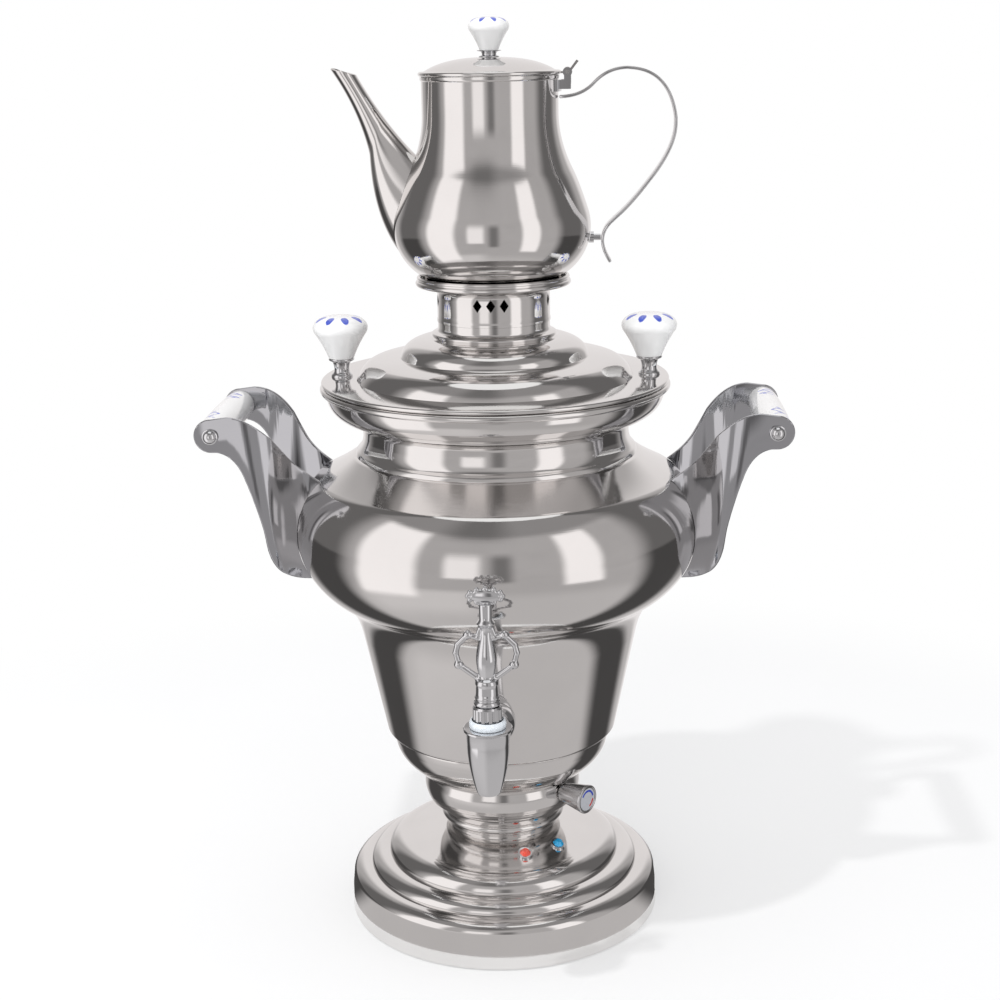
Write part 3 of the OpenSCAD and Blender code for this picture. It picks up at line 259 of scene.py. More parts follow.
def polishedMetal(name, colour, rough, lines, smudge=0.05):
    f = Finish(name)
    x, y, z = f.parts(f.moved((0, axisY, 0)))
    r = (x * x + y * y).do("SQRT")
    ringed = f.joined(r, z, (x + y) * 0.02)
    fine = f.noise(ringed, 2.2, 3.0, 0.65)
    cloud = f.noise(f.joined(x, y, z), 0.022, 4.0, 0.55)
    wear = f.noise(f.joined(x, y, z), 0.16, 5.0, 0.7)
    roughness = rough + cloud.soft(0.45, 0.75) * smudge + wear.soft(0.62, 0.8) * smudge * 0.7
    roughness = roughness + (fine - 0.5) * lines * 0.12
    tone = f.mix(cloud.soft(0.3, 0.7), tuple(c * 0.965 for c in colour[:3]) + (1,), colour)
    normal = f.bump(fine, lines, 0.00004)
    return f.close(Base_Color=tone, Metallic=1.0, Roughness=roughness, Normal=normal)


steel = polishedMetal("polishedSteel", (0.80, 0.785, 0.775, 1), 0.055, 0.25)
chrome = polishedMetal("brightChrome", (0.74, 0.745, 0.76, 1), 0.05, 0.06, 0.04)
# painted shade: a darker copy of the bright chrome for the cheeks; its darker base colour stands in for the
# darker reflections the cheeks show
shadedChrome = polishedMetal("shadedChrome", (0.50, 0.505, 0.53, 1), 0.05, 0.06, 0.04)
zinc = polishedMetal("zincSteel", (0.50, 0.50, 0.49, 1), 0.32, 0.4)
brass = polishedMetal("turnedBrass", (0.72, 0.52, 0.22, 1), 0.26, 0.4)
sheath = polishedMetal("heaterSheath", (0.40, 0.385, 0.37, 1), 0.36, 0.3)


def mouldedPlastic(name, colour, rough, coat=0.0, fleck=0.0):
    f = Finish(name)
    spot = f.moved((0, axisY, 0))
    mottle = f.noise(spot, 0.6, 3.0)
    skin = f.noise(spot, 4.0, 2.0)
    tone = f.mix(mottle.soft(0.3, 0.7), tuple(c * (0.92 - fleck) for c in colour[:3]) + (1,), colour)
    return f.close(Base_Color=tone, Roughness=rough + (mottle - 0.5) * 0.12, Coat_Weight=coat,
                   Normal=f.bump(skin, 0.15, 0.00005))


rubber = mouldedPlastic("footRubber", (0.045, 0.045, 0.047, 1), 0.72)
blackPlastic = mouldedPlastic("blackPlastic", (0.05, 0.05, 0.052, 1), 0.5)
creamPlastic = mouldedPlastic("creamPlastic", (0.72, 0.67, 0.58, 1), 0.45)
whiteRing = mouldedPlastic("whiteRing", (0.80, 0.85, 0.90, 1), 0.28, 0.5)
wireSleeve = mouldedPlastic("wireSleeve", (0.45, 0.16, 0.06, 1), 0.6)
redLens = mouldedPlastic("redLens", (0.92, 0.10, 0.06, 1), 0.12, 1.0, 0.1)
blueLens = mouldedPlastic("blueLens", (0.01, 0.42, 0.80, 1), 0.12, 1.0, 0.1)


def glaze(f, tone):
    return f.close(Base_Color=tone, Roughness=0.09, Coat_Weight=0.6)


porcelainWhite = (0.93, 0.93, 0.925, 1)
sprigBlue = (0.05, 0.08, 0.52, 1)
petalBlue = (0.10, 0.16, 0.62, 1)
stemBlue = (0.10, 0.17, 0.6, 1)


def petalPorcelain(name, centre, count, ringR, petalLong, petalWide):
    # petals round the top of a knob that stands at centre: how many, their ring, half lengths
    f = Finish(name)
    x, y, z = f.parts(f.moved(centre))
    r = (x * x + y * y).do("SQRT")
    turn = y.do("ARCTAN2", x) / (2 * pi) * count
    across = (turn.do("FRACT") - 0.5) * (2 * pi / count) * r
    wobble = (f.noise(f.joined(x, y, z), 0.7, 2.0) - 0.5) * 0.5
    along = (r - ringR) / petalLong
    petal = (along * along + (across / petalWide) * (across / petalWide) + wobble).soft(1.15, 0.75)
    top = z.soft(-1.0, 0.5)
    ink = f.mix(f.noise(f.joined(x, y, z), 0.9, 3.0).soft(0.3, 0.7), sprigBlue, petalBlue)
    return glaze(f, f.mix(petal * top, porcelainWhite, ink))


# the pressed shells
base = dict(r=94.2, gap=1.2, bandH=20.3, rollW=(11.2, 11.3, 13.3), rollH=(7.2, 7.0, 9.8), crownZ=53.5,
            flatR=35.4, hole=26.4, wall=1.2)


def makeBase():
    b = base
    r, z = b["r"] - 0.8, b["gap"] + b["bandH"]
    path = [(b["r"] + 0.6, b["gap"]), (b["r"] + 0.35, b["gap"] + 1.6), (b["r"], b["gap"] + 3),
            (b["r"], b["gap"] + b["bandH"] * 0.62), (r + 0.1, z - 1.2), (r, z)]
    for w, h in zip(b["rollW"], b["rollH"]):
        path += rollPath((r, z), (r - w, z + h))
        r, z = r - w, z + h
    path += [(b["flatR"], b["crownZ"]), (b["hole"], b["crownZ"])]
    bm = bmesh.new()
    spin(bm, sheetLoop(path, b["wall"]), 192, True)
    dress(makeObject(bm, "baseShell"), steel, "stand", ["base_shell"])


pedestal = dict(foot=33.4, r=46.3, low=53.5, high=88.0, housingR=66.2, housingH=28.5, wall=1.2)


def makePedestal():
    p = pedestal
    mid = (2 * p["foot"] + p["r"]) / 3
    low, high, foot, r = p["low"], p["high"], p["foot"], p["r"]
    path = [(foot - 5, low), (foot, low), (foot, low + 1.4)]
    path += bendPath((foot - 0.8, low + 2), (foot - 0.6, low + 3.6), (mid - 2.4, low + 4), 10)
    path += arcPath(mid - 2.4, low + 6.8, 2.4, -70, 78, 18)
    path += bendPath((mid - 1.2, low + 9.8), (mid - 0.8, high - 18.6), (r - 2, high - 17), 14)
    path += bendPath((r - 1.1, high - 16.6), (r + 3.2, high - 8), (r - 0.2, high), 24)
    bm = bmesh.new()
    spin(bm, sheetLoop(path, p["wall"]), 144, True)
    dress(makeObject(bm, "pedestalShell"), steel, "stand", ["pedestal"])
    housingR, floor = p["housingR"], high + p["housingH"]
    path = [(r - 5.6, high), (r + 0.4, high)]
    path += bendPath((r + 1.2, high + 0.4), (r + 3.4, high + 1.4), (housingR - 11.4, high + 6.4), 14)
    path += bendPath((housingR - 10.6, high + 7.2), (housingR - 2.4, high + 14),
                     (housingR - 1.4, floor - 6), 24)
    path += [(housingR - 0.2, floor - 0.8), (housingR - 0.4, floor - 0.3), (housingR - 1, floor)]
    path += [(housingR - 8, floor)]
    bm = bmesh.new()
    spin(bm, sheetLoop(path, p["wall"]), 160, True)
    dress(makeObject(bm, "heaterHousingShell"), steel, "stand", ["heater_housing"])


tank = dict(floor=116.5, ringR=69.6, ringH=3.0, waistR=82.3, waistZ=180.0, bellyR=119.2, bellyZ=243.0,
            ovalW=54.0, ovalH=48.3, neckR=77.6, rimR=101.8, rimH=32.2, wall=1.2)


def onOval(a):  # a point of the belly, at an angle from level
    t = tank
    x = t["bellyR"] - t["ovalW"] + t["ovalW"] * cos(radians(a))
    return (x, t["bellyZ"] + t["ovalH"] * sin(radians(a)))


shoulder = onOval(41)
neckZ = shoulder[1] + 22.4
rimZ = neckZ + tank["rimH"]


def tankPath():
    t = tank
    start = onOval(-56)
    neck, rim = t["neckR"], t["rimR"]
    path = [(0, t["floor"]), (t["ringR"] - t["ringH"] - 0.5, t["floor"])]
    path += arcPath(t["ringR"] - t["ringH"], t["floor"] + t["ringH"], t["ringH"], -90, 0, 12)
    path += bendPath((t["waistR"], t["waistZ"]), (t["waistR"] + 3.7, start[1] - 6.3), start, 24)
    path += [onOval(-56 + 97 * i / 90) for i in range(1, 90)]
    path += bendPath((shoulder[0] - 0.8, shoulder[1] + 0.5), (shoulder[0] - 13, shoulder[1] + 6.3),
                     (neck + 5.8, neckZ - 9), 20)
    path += [(neck + 4.8, neckZ - 8.6), (neck + 4.3, neckZ - 6.9)]
    path += bendPath((neck + 3.6, neckZ - 6), (neck + 0.2, neckZ - 3), (neck, neckZ + 3), 14)
    path += bendPath((neck, neckZ + 7), (neck + 0.2, neckZ + 11), (neck + 5, neckZ + 12), 12)
    path += bendPath((neck + 6, neckZ + 12.3), (rim - 4.2, neckZ + 15.5), (rim - 3.5, rimZ - 4.4), 24)
    path += [(rim - 2.6, rimZ - 3.8)]
    path += arcPath(rim - 2.1, rimZ - 2, 2, -60, 90, 16)
    return path


def makeTank():
    bm = bmesh.new()
    spin(bm, sheetLoop(tankPath(), tank["wall"]), 192, True)
    dress(makeObject(bm, "tankShell"), steel, "stand",
          ["tank_floor", "tank_bowl", "tank_belly", "tank_neck"])


def tankCutter():
    bm = bmesh.new()
    spin(bm, offsetPath(tankPath(), -0.2) + [(0, rimZ + 0.2)], 192)
    return makeObject(bm, "tankCutter")


lid = dict(r=101.0, z=329.5, topZ=332.1, stepR=72.0, stepH=12.6, domeR=52.0, domeH=11.2, sleeveR=32.7,
           skirtGap=5.4, wall=1.2)


def makeLid():
    d = lid
    top, step, dome, sleeve = d["topZ"], d["stepR"], d["domeR"], d["sleeveR"]
    ledge = top + d["stepH"]
    moulding = ledge + d["domeH"]
    spigotZ, spigotR = moulding + 8.8, sleeve - 1.35
    path = arcPath(d["r"] - 1.4, d["z"] + 1.3, 1.3, -80, 90, 16)
    path += bendPath((step + 8.3, top + 0.2), (step + 4.2, top + 9.8), (step - 3, ledge - 1.7), 24)
    path += bendPath((step - 4, ledge - 1.5), (dome + 9, ledge - 0.4), (dome + 3, ledge), 8)
    path += bendPath((dome + 2.4, ledge + 1), (dome - 0.5, moulding - 1.4),
                     (sleeve + 5, moulding - 0.2), 26)
    path += [(sleeve + 3.6, moulding)]
    path += arcPath(sleeve + 2.2, moulding + 1.5, 1.2, -50, 80, 12)
    path += bendPath((sleeve + 1.6, moulding + 3.2), (sleeve - 0.4, moulding + 3.6),
                     (sleeve - 0.4, moulding + 6), 10)
    path += [(sleeve - 0.4, spigotZ), (spigotR, spigotZ), (spigotR, spigotZ + 6)]
    bm = bmesh.new()
    spin(bm, sheetLoop(path, d["wall"]), 192, True)
    skirt, low, high = tank["rimR"] - d["skirtGap"], d["z"] - 5, d["z"] + 1.6
    spin(bm, [(skirt, low), (skirt, high), (skirt - 1, high), (skirt - 1, low)], 128, True)
    dress(makeObject(bm, "lidShell"), steel, "lid", ["lid_cover", "lid_neck"])


stand = dict(sleeveR=32.7, z=364.9, dishZ=381.9, dishR=44.6, ventH=7.5, ventZ=377.14)


def makeStand():
    s = stand
    r, z, dz, dr = s["sleeveR"], s["z"], s["dishZ"], s["dishR"]
    half = s["ventH"] / 2
    rows = [s["ventZ"] + half * k / 2 for k in range(-2, 3)]
    path = [(r, z), (r, z + 1.2), (r - 0.08, z + 1.7), (r - 0.3, z + 2.1), (r - 0.3, z + 5)]
    path += [(r - 0.3, h) for h in rows]
    path += bendPath((r, dz), (r + 1, dz + 3.4), (dr - 3.4, dz + 3.8), 12)
    path += arcPath(dr - 1.7, dz + 5, 1.7, -60, 60, 12)
    path += arcPath(dr - 1.9, dz + 7.9, 1.1, -40, 120, 12)
    bm = bmesh.new()
    steps = 160
    spin(bm, path, steps)
    bmesh.ops.remove_doubles(bm, verts=bm.verts, dist=1e-4)
    pitch = 2 * pi / steps
    wide = 2 * pitch  # half a vent's width
    centres = [radians(quarter - 90) + k * 3 * wide for quarter in range(0, 360, 90) for k in (-1, 0, 1)]

    def inVent(p):  # 1 on the edge of the nearest vent's diamond, less inside it
        best = 9
        for c in centres:
            d = (atan2(p.y, p.x) - c + pi) % (2 * pi) - pi
            best = min(best, abs(d) / wide + abs(p.z - s["ventZ"]) / half)
        return best
    sleeve = [f for f in bm.faces if rows[0] - 0.1 < f.calc_center_median().z < rows[-1] + 0.1]
    for f in sleeve:
        marks = [inVent(v.co) for v in f.verts]
        edge = [v for v, m in zip(f.verts, marks) if abs(m - 1) < 0.02]
        if len(edge) == 2 and min(marks) < 0.9 and max(marks) > 1.1:
            bmesh.ops.connect_verts(bm, verts=edge)
    gone = [f for f in bm.faces if rows[0] - 0.1 < f.calc_center_median().z < rows[-1] + 0.1
            and inVent(f.calc_center_median()) < 0.98]
    bmesh.ops.delete(bm, geom=gone, context="FACES")
    bmesh.ops.recalc_face_normals(bm, faces=bm.faces)
    outward = sum(f.normal.dot(f.calc_center_median() * Vector((1, 1, 0))) for f in bm.faces)
    bmesh.ops.solidify(bm, geom=bm.faces[:], thickness=1.0 if outward > 0 else -1.0)
    spin(bm, [(dr - 3, dz + 4.8), (dr - 3, dz + 6), (r - 3, dz + 6), (r - 3, dz + 4.8)], 128, True)
    dress(makeObject(bm, "ventedStand"), steel, "teapot_stand", ["teapot_stand"])


# the teapot
pot = dict(z=388.1, r=56.1, arcR=31.0, bellyZ=30.0, neckR=38.3, h=113.4, foot=40.0, wall=1.0, hingeX=43.5,
           lidH=8.2, holeR=1.5, holePitch=(5, 5.2), ferruleH=3.7, knobScale=11.5 / 16,
           petals=(8, 8.0, 2.6, 1.5))
potRim = pot["z"] + pot["h"]


def potPath():
    p = pot
    c = p["r"] - p["arcR"]
    turn = (c + p["arcR"] * cos(radians(18)), p["z"] + p["bellyZ"] + p["arcR"] * sin(radians(18)))
    mid = ((turn[0] + p["neckR"]) / 2, turn[1] + 21.6)
    start = asin((4 - p["bellyZ"]) / p["arcR"]) * 180 / pi
    path = [(0, p["z"]), (p["foot"], p["z"])]
    path += arcPath(c, p["z"] + p["bellyZ"], p["arcR"], start, 17, 50)
    path += bendPath(turn, (turn[0] - 4.7, turn[1] + 14.6), mid, 20)
    path += bendPath(mid, (p["neckR"], mid[1] + 16), (p["neckR"], mid[1] + 32), 20)[1:]
    path += [(p["neckR"], potRim - 2.4), (p["neckR"] + 0.5, potRim - 1.9), (p["neckR"] + 0.7, potRim - 1.4),
             (p["neckR"] + 0.7, potRim)]
    return path


def makePot():
    p = pot
    bm = bmesh.new()
    spin(bm, sheetLoop(potPath(), p["wall"]), 160, True)
    body = makeObject(bm, "potBody")
    bm = bmesh.new()
    for row in range(-3, 4):
        for col in (-1, 0, 1):
            y, z = col * p["holePitch"][0], p["z"] + p["bellyZ"] + 4 + row * p["holePitch"][1]
            rod(bm, (-25, y, z), (-85, y, z), p["holeR"], segments=16)
    holes = makeObject(bm, "strainerHoles")
    cut(body, holes)
    discard(holes)
    dress(body, steel, "teapot", ["teapot_body"])


def cutByPot(thing, gap, steps):
    bm = bmesh.new()
    spin(bm, offsetPath(potPath(), -gap) + [(0, potRim)], steps)
    cutter = makeObject(bm, "potCutter")
    cut(thing, cutter)
    discard(cutter)


# its edges seen from the side: the outer one goes on as the lower one at the joint
spout = dict(outer=((-89, 506.1), (-73.8, 484), (-68.5, 459)), lower=((-68.5, 459), (-68, 416), (-45, 394)),
             upper=((-74.5, 502.6), (-58.5, 474), (-40, 456)), joint=0.45, lift=0.5, tipHalf=6.6, flare=9,
             inside=14, wall=1.0)


def makeSpout():
    s = spout
    joint = s["joint"]

    def low(t):
        if t < joint:
            return bend(*s["outer"], t / joint)
        return bend(*s["lower"], (t - joint) / (1 - joint))
    rings, sides = 44, 48
    bm = bmesh.new()
    loop = bmesh.ops.create_circle(bm, cap_ends=False, segments=sides, radius=1)["verts"]
    edges = list({e for v in loop for e in v.link_edges})
    circle = {v: v.co.copy() for v in loop}
    ring = loop
    for i in range(rings + 1):
        t = i / rings
        lo, hi = low(t), bend(*s["upper"], t)
        if i == rings:
            lo, hi = (lo[0] + s["inside"], lo[1]), (hi[0] + s["inside"], hi[1])
        mid = Vector(((lo[0] + hi[0]) / 2, 0, (lo[1] + hi[1]) / 2 + s["lift"]))
        across = Vector((lo[0] - hi[0], 0, lo[1] - hi[1]))
        a = across.length / 2
        across.normalize()
        b = s["tipHalf"] + s["flare"] * t * t
        if i:
            made = bmesh.ops.extrude_edge_only(bm, edges=edges)["geom"]
            fresh = [g for g in made if isinstance(g, bmesh.types.BMVert)]
            pairs = {}
            for v in fresh:
                for e in v.link_edges:
                    other = e.other_vert(v)
                    if other in circle and other not in fresh:
                        pairs[v] = circle[other]
            circle.update(pairs)
            ring = fresh
            edges = [g for g in made if isinstance(g, bmesh.types.BMEdge)]
            edges = [g for g in edges if all(v in fresh for v in g.verts)]
        for v in ring:
            c = circle[v]
            v.co = mid + across * a * c.x + Vector((0, b * c.y, 0))
    bmesh.ops.recalc_face_normals(bm, faces=bm.faces)
    outward = sum(f.normal.y * f.calc_center_median().y for f in bm.faces)
    bmesh.ops.solidify(bm, geom=bm.faces[:], thickness=s["wall"] if outward > 0 else -s["wall"])
    thing = makeObject(bm, "potSpout")
    cutByPot(thing, 0.05, 160)
    dress(thing, steel, "teapot", ["teapot_spout"])


strap = dict(wide=11.0, thick=1.7, lift=0.5, round=0.45, bends=(
    ((38.9, 490), (50, 490), (56.5, 496), 12),
    ((57.5, 497), (65.5, 505.3), (77, 505.2), 16),
    ((79, 505), (101, 503), (104.4, 477), 24),
    ((104.4, 474), (104.4, 461), (91, 444), 16),
    ((89.4, 442), (79, 428.5), (70, 421), 14),
    ((69, 420), (58.6, 411.5), (67.8, 397.7), 18)))


def slab(bm, outline, half):  # a flat outline made into a solid that is 2 * half thick
    face = bm.faces.new([bm.verts.new((x, -half, z)) for x, z in outline])
    made = bmesh.ops.extrude_face_region(bm, geom=[face])["geom"]
    verts = [g for g in made if isinstance(g, bmesh.types.BMVert)]
    bmesh.ops.translate(bm, vec=(0, 2 * half, 0), verts=verts)


def roundRims(bm, amount):
    rims = [e for e in bm.edges if len(e.link_faces) == 2 and e.calc_face_angle(0) > radians(60)]
    bmesh.ops.bevel(bm, geom=rims, offset=amount, segments=3, profile=0.5, affect="EDGES", material=-1)


def makeStrap():
    s = strap
    path = [(x, z + s["lift"]) for points in s["bends"] for x, z in bendPath(*points)]
    bm = bmesh.new()
    slab(bm, sheetLoop(path, -s["thick"]), s["wide"] / 2)
    bmesh.ops.recalc_face_normals(bm, faces=bm.faces)
    roundRims(bm, s["round"])
    thing = makeObject(bm, "potHandle")
    cutByPot(thing, 0.1, 128)
    dress(thing, chrome, "teapot", ["teapot_handle"])


def knobPath(k, z):
    path = bendPath((7.3, 0), (10.4, 8), (15.3, 15), 20)
    path += bendPath((15.7, 16), (17, 20), (12.5, 22.8), 16)
    path += bendPath((11.6, 23.3), (7, 25), (0, 25), 12)
    return [(0, z)] + [(x * k, z + height * k) for x, height in path]


def ferrulePath(k, h, z):
    path = [(0, 0), (6.3 * k, 0), (6.25 * k, h * 0.06), (6.1 * k, h * 0.12), (5.3 * k, h * 0.18)]
    path += bendPath((4.6 * k, h * 0.26), (3.9 * k, h * 0.5), (5.4 * k, h * 0.8), 14)
    path += [(7.2 * k, h * 0.88), (7.42 * k, h * 0.91), (7.5 * k, h * 0.94), (7.4 * k, h * 0.98)]
    path += [(7.2 * k, h), (0, h)]
    return [(x, z + height) for x, height in path]


def makePotLid():
    p = pot
    z, n = potRim + 0.3, p["neckR"]
    top = z + 1.6 + p["lidH"]
    path = arcPath(n + 0.5, z + 1.2, 1.2, -80, 90, 14)
    path += [(n - 1, z + 2.5)]
    path += bendPath((n - 2, z + 2.8), (26, z + p["lidH"] + 1), (7, top), 30)
    path += [(0, top)]
    bm = bmesh.new()
    spin(bm, sheetLoop(path, p["wall"]), 144, True)
    spin(bm, [(n - 1.5, z - 4), (n - 1.5, z + 1.9), (n - 2.4, z + 1.9), (n - 2.4, z - 4)], 128, True)
    hinge = (p["hingeX"], potRim + 1.6)
    rod(bm, (hinge[0], -4, hinge[1]), (hinge[0], 4, hinge[1]), 2.6, segments=48)
    block(bm, (n, -3.4, z + 0.5), (hinge[0], 3.4, z + 1.6))
    slab(bm, [(hinge[0] + x, hinge[1] + h) for x, h in ((1, 1.2), (2.2, 0.6), (6.2, 5.6), (5, 6.4))], 3)
    dress(makeObject(bm, "potLid"), steel, "teapot_lid", ["teapot_lid"])
    ferruleZ = z + 1.7 + p["lidH"]
    bm = bmesh.new()
    spin(bm, ferrulePath(0.92, p["ferruleH"], ferruleZ), 64)
    dress(makeObject(bm, "potFerrule"), chrome, "teapot_lid", ["teapot_ferrule"])
    bm = bmesh.new()
    knobZ = ferruleZ + p["ferruleH"] + 0.1
    spin(bm, knobPath(p["knobScale"], knobZ), 96)
    skin = petalPorcelain("potKnobPorcelain", (0, axisY, (knobZ + 12) / 1000), *p["petals"])
    dress(makeObject(bm, "potKnob"), skin, "teapot_lid", ["teapot_knob"])


lidKnobs = dict(reach=89.4, ferruleH=11.0, petals=(8, 11.2, 3.4, 2.2))


def makeLidKnobs():
    reach, z = lidKnobs["reach"], lid["topZ"] + 0.1
    knobZ = z + lidKnobs["ferruleH"] + 0.1
    bm = bmesh.new()
    ferrule = ferrulePath(1, lidKnobs["ferruleH"], z)
    for side in (-1, 1):
        spin(bm, ferrule, 64, place=Matrix.Translation((side * reach, 0, 0)))
    dress(makeObject(bm, "lidFerrules"), chrome, "lid", ["lid_ferrules"])
    for side, name in ((-1, "left"), (1, "right")):
        bm = bmesh.new()
        spin(bm, knobPath(1, knobZ), 96, place=Matrix.Translation((side * reach, 0, 0)))
        centre = (side * reach / 1000, axisY, (knobZ + 17) / 1000)
        skin = petalPorcelain(name + "KnobPorcelain", centre, *lidKnobs["petals"])
        dress(makeObject(bm, name + "LidKnob"), skin, "lid", ["lid_knobs"])


# the urn's handles
handle = dict(reach=159.3, z=307.0, end=9.6, span=46.0, thick=2.2, padHalf=24.0, gripR=9.4, round=0.7,
              strips=48, stripStep=1.25, stripStart=90, footLow=229, footHigh=257, footThick=2.0,
              footTurn=13.9, footWide=11.1)


def cheekOutline():  # seen from the front
    h = handle
    gx, gz, er, br, bz = h["reach"], h["z"], h["end"], tank["bellyR"], tank["bellyZ"]
    path = arcPath(gx, gz, er, -90, 90, 32)
    path += bendPath((gx - 9, gz + er + 1.2), (gx - 22, gz + er + 1), (gx - 34, gz - 3.5), 20)
    path += bendPath((gx - 42, gz - 16), (gx - 47, gz - 24), (br - 22, gz - 34), 12)
    path += [(br - 26, gz - 40), (br - 26, bz - 29), (br - 16, bz - 27)]
    path += bendPath((br - 11, bz - 25.6), (gx - 31, bz - 24), (gx - 28.4, gz - 62), 24)
    path += bendPath((gx - 27.4, gz - 56), (gx - 24.6, gz - 44), (gx - 19.6, gz - 29), 12)
    path += bendPath((gx - 18.6, gz - 26.4), (gx - 13.6, gz - er - 1.6), (gx - 3, gz - er), 16)
    return path


def cheekPlan():  # seen from above
    h = handle
    gx, span, br = h["reach"], h["span"], tank["bellyR"]
    edge = h["padHalf"] + h["thick"]
    path = [(gx + h["end"] + 1, span), (gx - 12, span)]
    path += bendPath((gx - 16, span), (gx - 27, span), (gx - 36, span - 8), 20)
    path += bendPath((gx - 38, span - 10), (gx - 46, edge + 3), (br - 12, edge + 2), 16)
    path += [(br - 30, edge + 0.5)]
    return path[::-1]


def makeCheeks():
    h = handle
    plan = cheekPlan()

    def across(x):
        for (x0, y0), (x1, y1) in zip(plan, plan[1:]):
            if x <= x1:
                return y0 + (y1 - y0) * (x - x0) / (x1 - x0)
        return plan[-1][1]
    bm = bmesh.new()
    outline = cheekOutline()
    bm.faces.new([bm.verts.new((x, 0, z)) for x, z in outline])
    for strip in range(h["strips"]):  # cut into strips, so that it can follow the plan
        x = h["stripStart"] + strip * h["stripStep"]
        everything = bm.verts[:] + bm.edges[:] + bm.faces[:]
        bmesh.ops.bisect_plane(bm, geom=everything, plane_co=(x, 0, 0), plane_no=(1, 0, 0), dist=1e-4)
    for v in bm.verts:
        v.co.y = -across(v.co.x)
    bmesh.ops.recalc_face_normals(bm, faces=bm.faces)
    facing = sum(f.normal.y * f.calc_area() for f in bm.faces)
    bmesh.ops.solidify(bm, geom=bm.faces[:], thickness=h["thick"] if facing < 0 else -h["thick"])
    roundRims(bm, h["round"])
    rough = makeObject(bm, "cheek")
    cutter = tankCutter()
    cut(rough, cutter)
    discard(cutter)
    foot = bmesh.new()
    side = [p for p in offsetPath(tankPath(), -0.2) if h["footLow"] < p[1] < h["footHigh"] and p[0] > 100]
    spin(foot, sheetLoop(side, -h["footThick"]), 24, True, Matrix.Rotation(-radians(h["footTurn"]), 4, "Z"),
         radians(h["footWide"]))
    bmesh.ops.holes_fill(foot, edges=foot.edges[:], sides=0)
    footThing = makeObject(foot, "cheekFoot")
    for side, sideName in ((1, "right"), (-1, "left")):
        for end, endName in ((1, "front"), (-1, "back")):
            bm = bmesh.new()
            bm.from_mesh(rough.data)
            bm.from_mesh(footThing.data)
            bmesh.ops.translate(bm, vec=(0, -axisY, 0), verts=bm.verts)
            bmesh.ops.scale(bm, vec=(side, end, 1), verts=bm.verts)
            if side * end < 0:
                bmesh.ops.reverse_faces(bm, faces=bm.faces)
            bmesh.ops.translate(bm, vec=(0, axisY, 0), verts=bm.verts)
            name = sideName + endName.capitalize() + "Cheek"
            mesh = bpy.data.meshes.new(name)
            bm.to_mesh(mesh)
            bm.free()
            thing = bpy.data.objects.new(name, mesh)
            bpy.context.scene.collection.objects.link(thing)
            # the cheeks take the darker copy of the chrome, which is painted shade
            dress(thing, shadedChrome, "stand", [sideName + "_" + endName + "_cheek"], 30)
    discard(rough)
    discard(footThing)


sprig = dict(along=27, turn=1.45, leafStep=4.0, leafLean=0.28)


def sprigPorcelain():
    # small sprigs near both ends of a grip that lies along Y
    s = sprig
    f = Finish("gripPorcelain")
    x, y, z = f.parts(f.moved((0, axisY, handle["z"] / 1000)))
    out = x.do("ABSOLUTE") - handle["reach"]
    turn = z.do("ARCTAN2", out)
    within = (y.do("ABSOLUTE") - s["along"]).do("ABSOLUTE").soft(10, 8)
    wave = (y * 0.55).do("SINE") * 0.25
    wobble = f.noise(f.joined(x, y, z), 0.55, 2.0) - 0.5
    stem = ((turn - s["turn"] + wave).do("ABSOLUTE") + wobble * 0.12).soft(0.12, 0.06)
    cell = (y / s["leafStep"]).do("FRACT") - 0.5
    side = (y / s["leafStep"]).do("FLOOR").do("MODULO", 2.0) * (2 * s["leafLean"]) - s["leafLean"]
    lean = (turn - s["turn"] - side) / 0.34
    leaf = (cell * cell * 7 + lean * lean + wobble * 0.6).soft(1.1, 0.7)
    ink = f.mix(f.noise(f.joined(x, y, z), 0.9, 3.0).soft(0.3, 0.7), sprigBlue, stemBlue)
    return glaze(f, f.mix(((stem + leaf) * within).do("MINIMUM", 1.0), porcelainWhite, ink))


def makeGrips():
    h = handle
    half = h["span"] - h["thick"] - 0.1
    long = 2 * half
    r = h["gripR"]
    path = [(0, 0), (r - 1.2, 0), (r - 0.85, 0.25)]
    path += bendPath((r - 0.7, 0.6), (r + 0.7, long / 2), (r - 0.7, long - 0.6), 40)
    path += [(r - 0.85, long - 0.25), (r - 1.2, long), (0, long)]
    skin = sprigPorcelain()
    for side, name in ((-1, "left"), (1, "right")):
        bm = bmesh.new()
        place = Matrix.Translation((side * h["reach"], half, h["z"])) @ Matrix.Rotation(pi / 2, 4, "X")
        spin(bm, path, 96, place=place)
        dress(makeObject(bm, name + "Grip"), skin, "stand", ["grips"])


# the tap and its key
tap = dict(reach=135.0, z=147.5, top=168.3, nose=130.5, key=172.9, flange=13.2, noseR=6.4, boreR=3.2,
           sealH=4.6, collarH=7.8, halfW=18.0, keyH=78.2, plugClear=9.0, shankR=7.0)


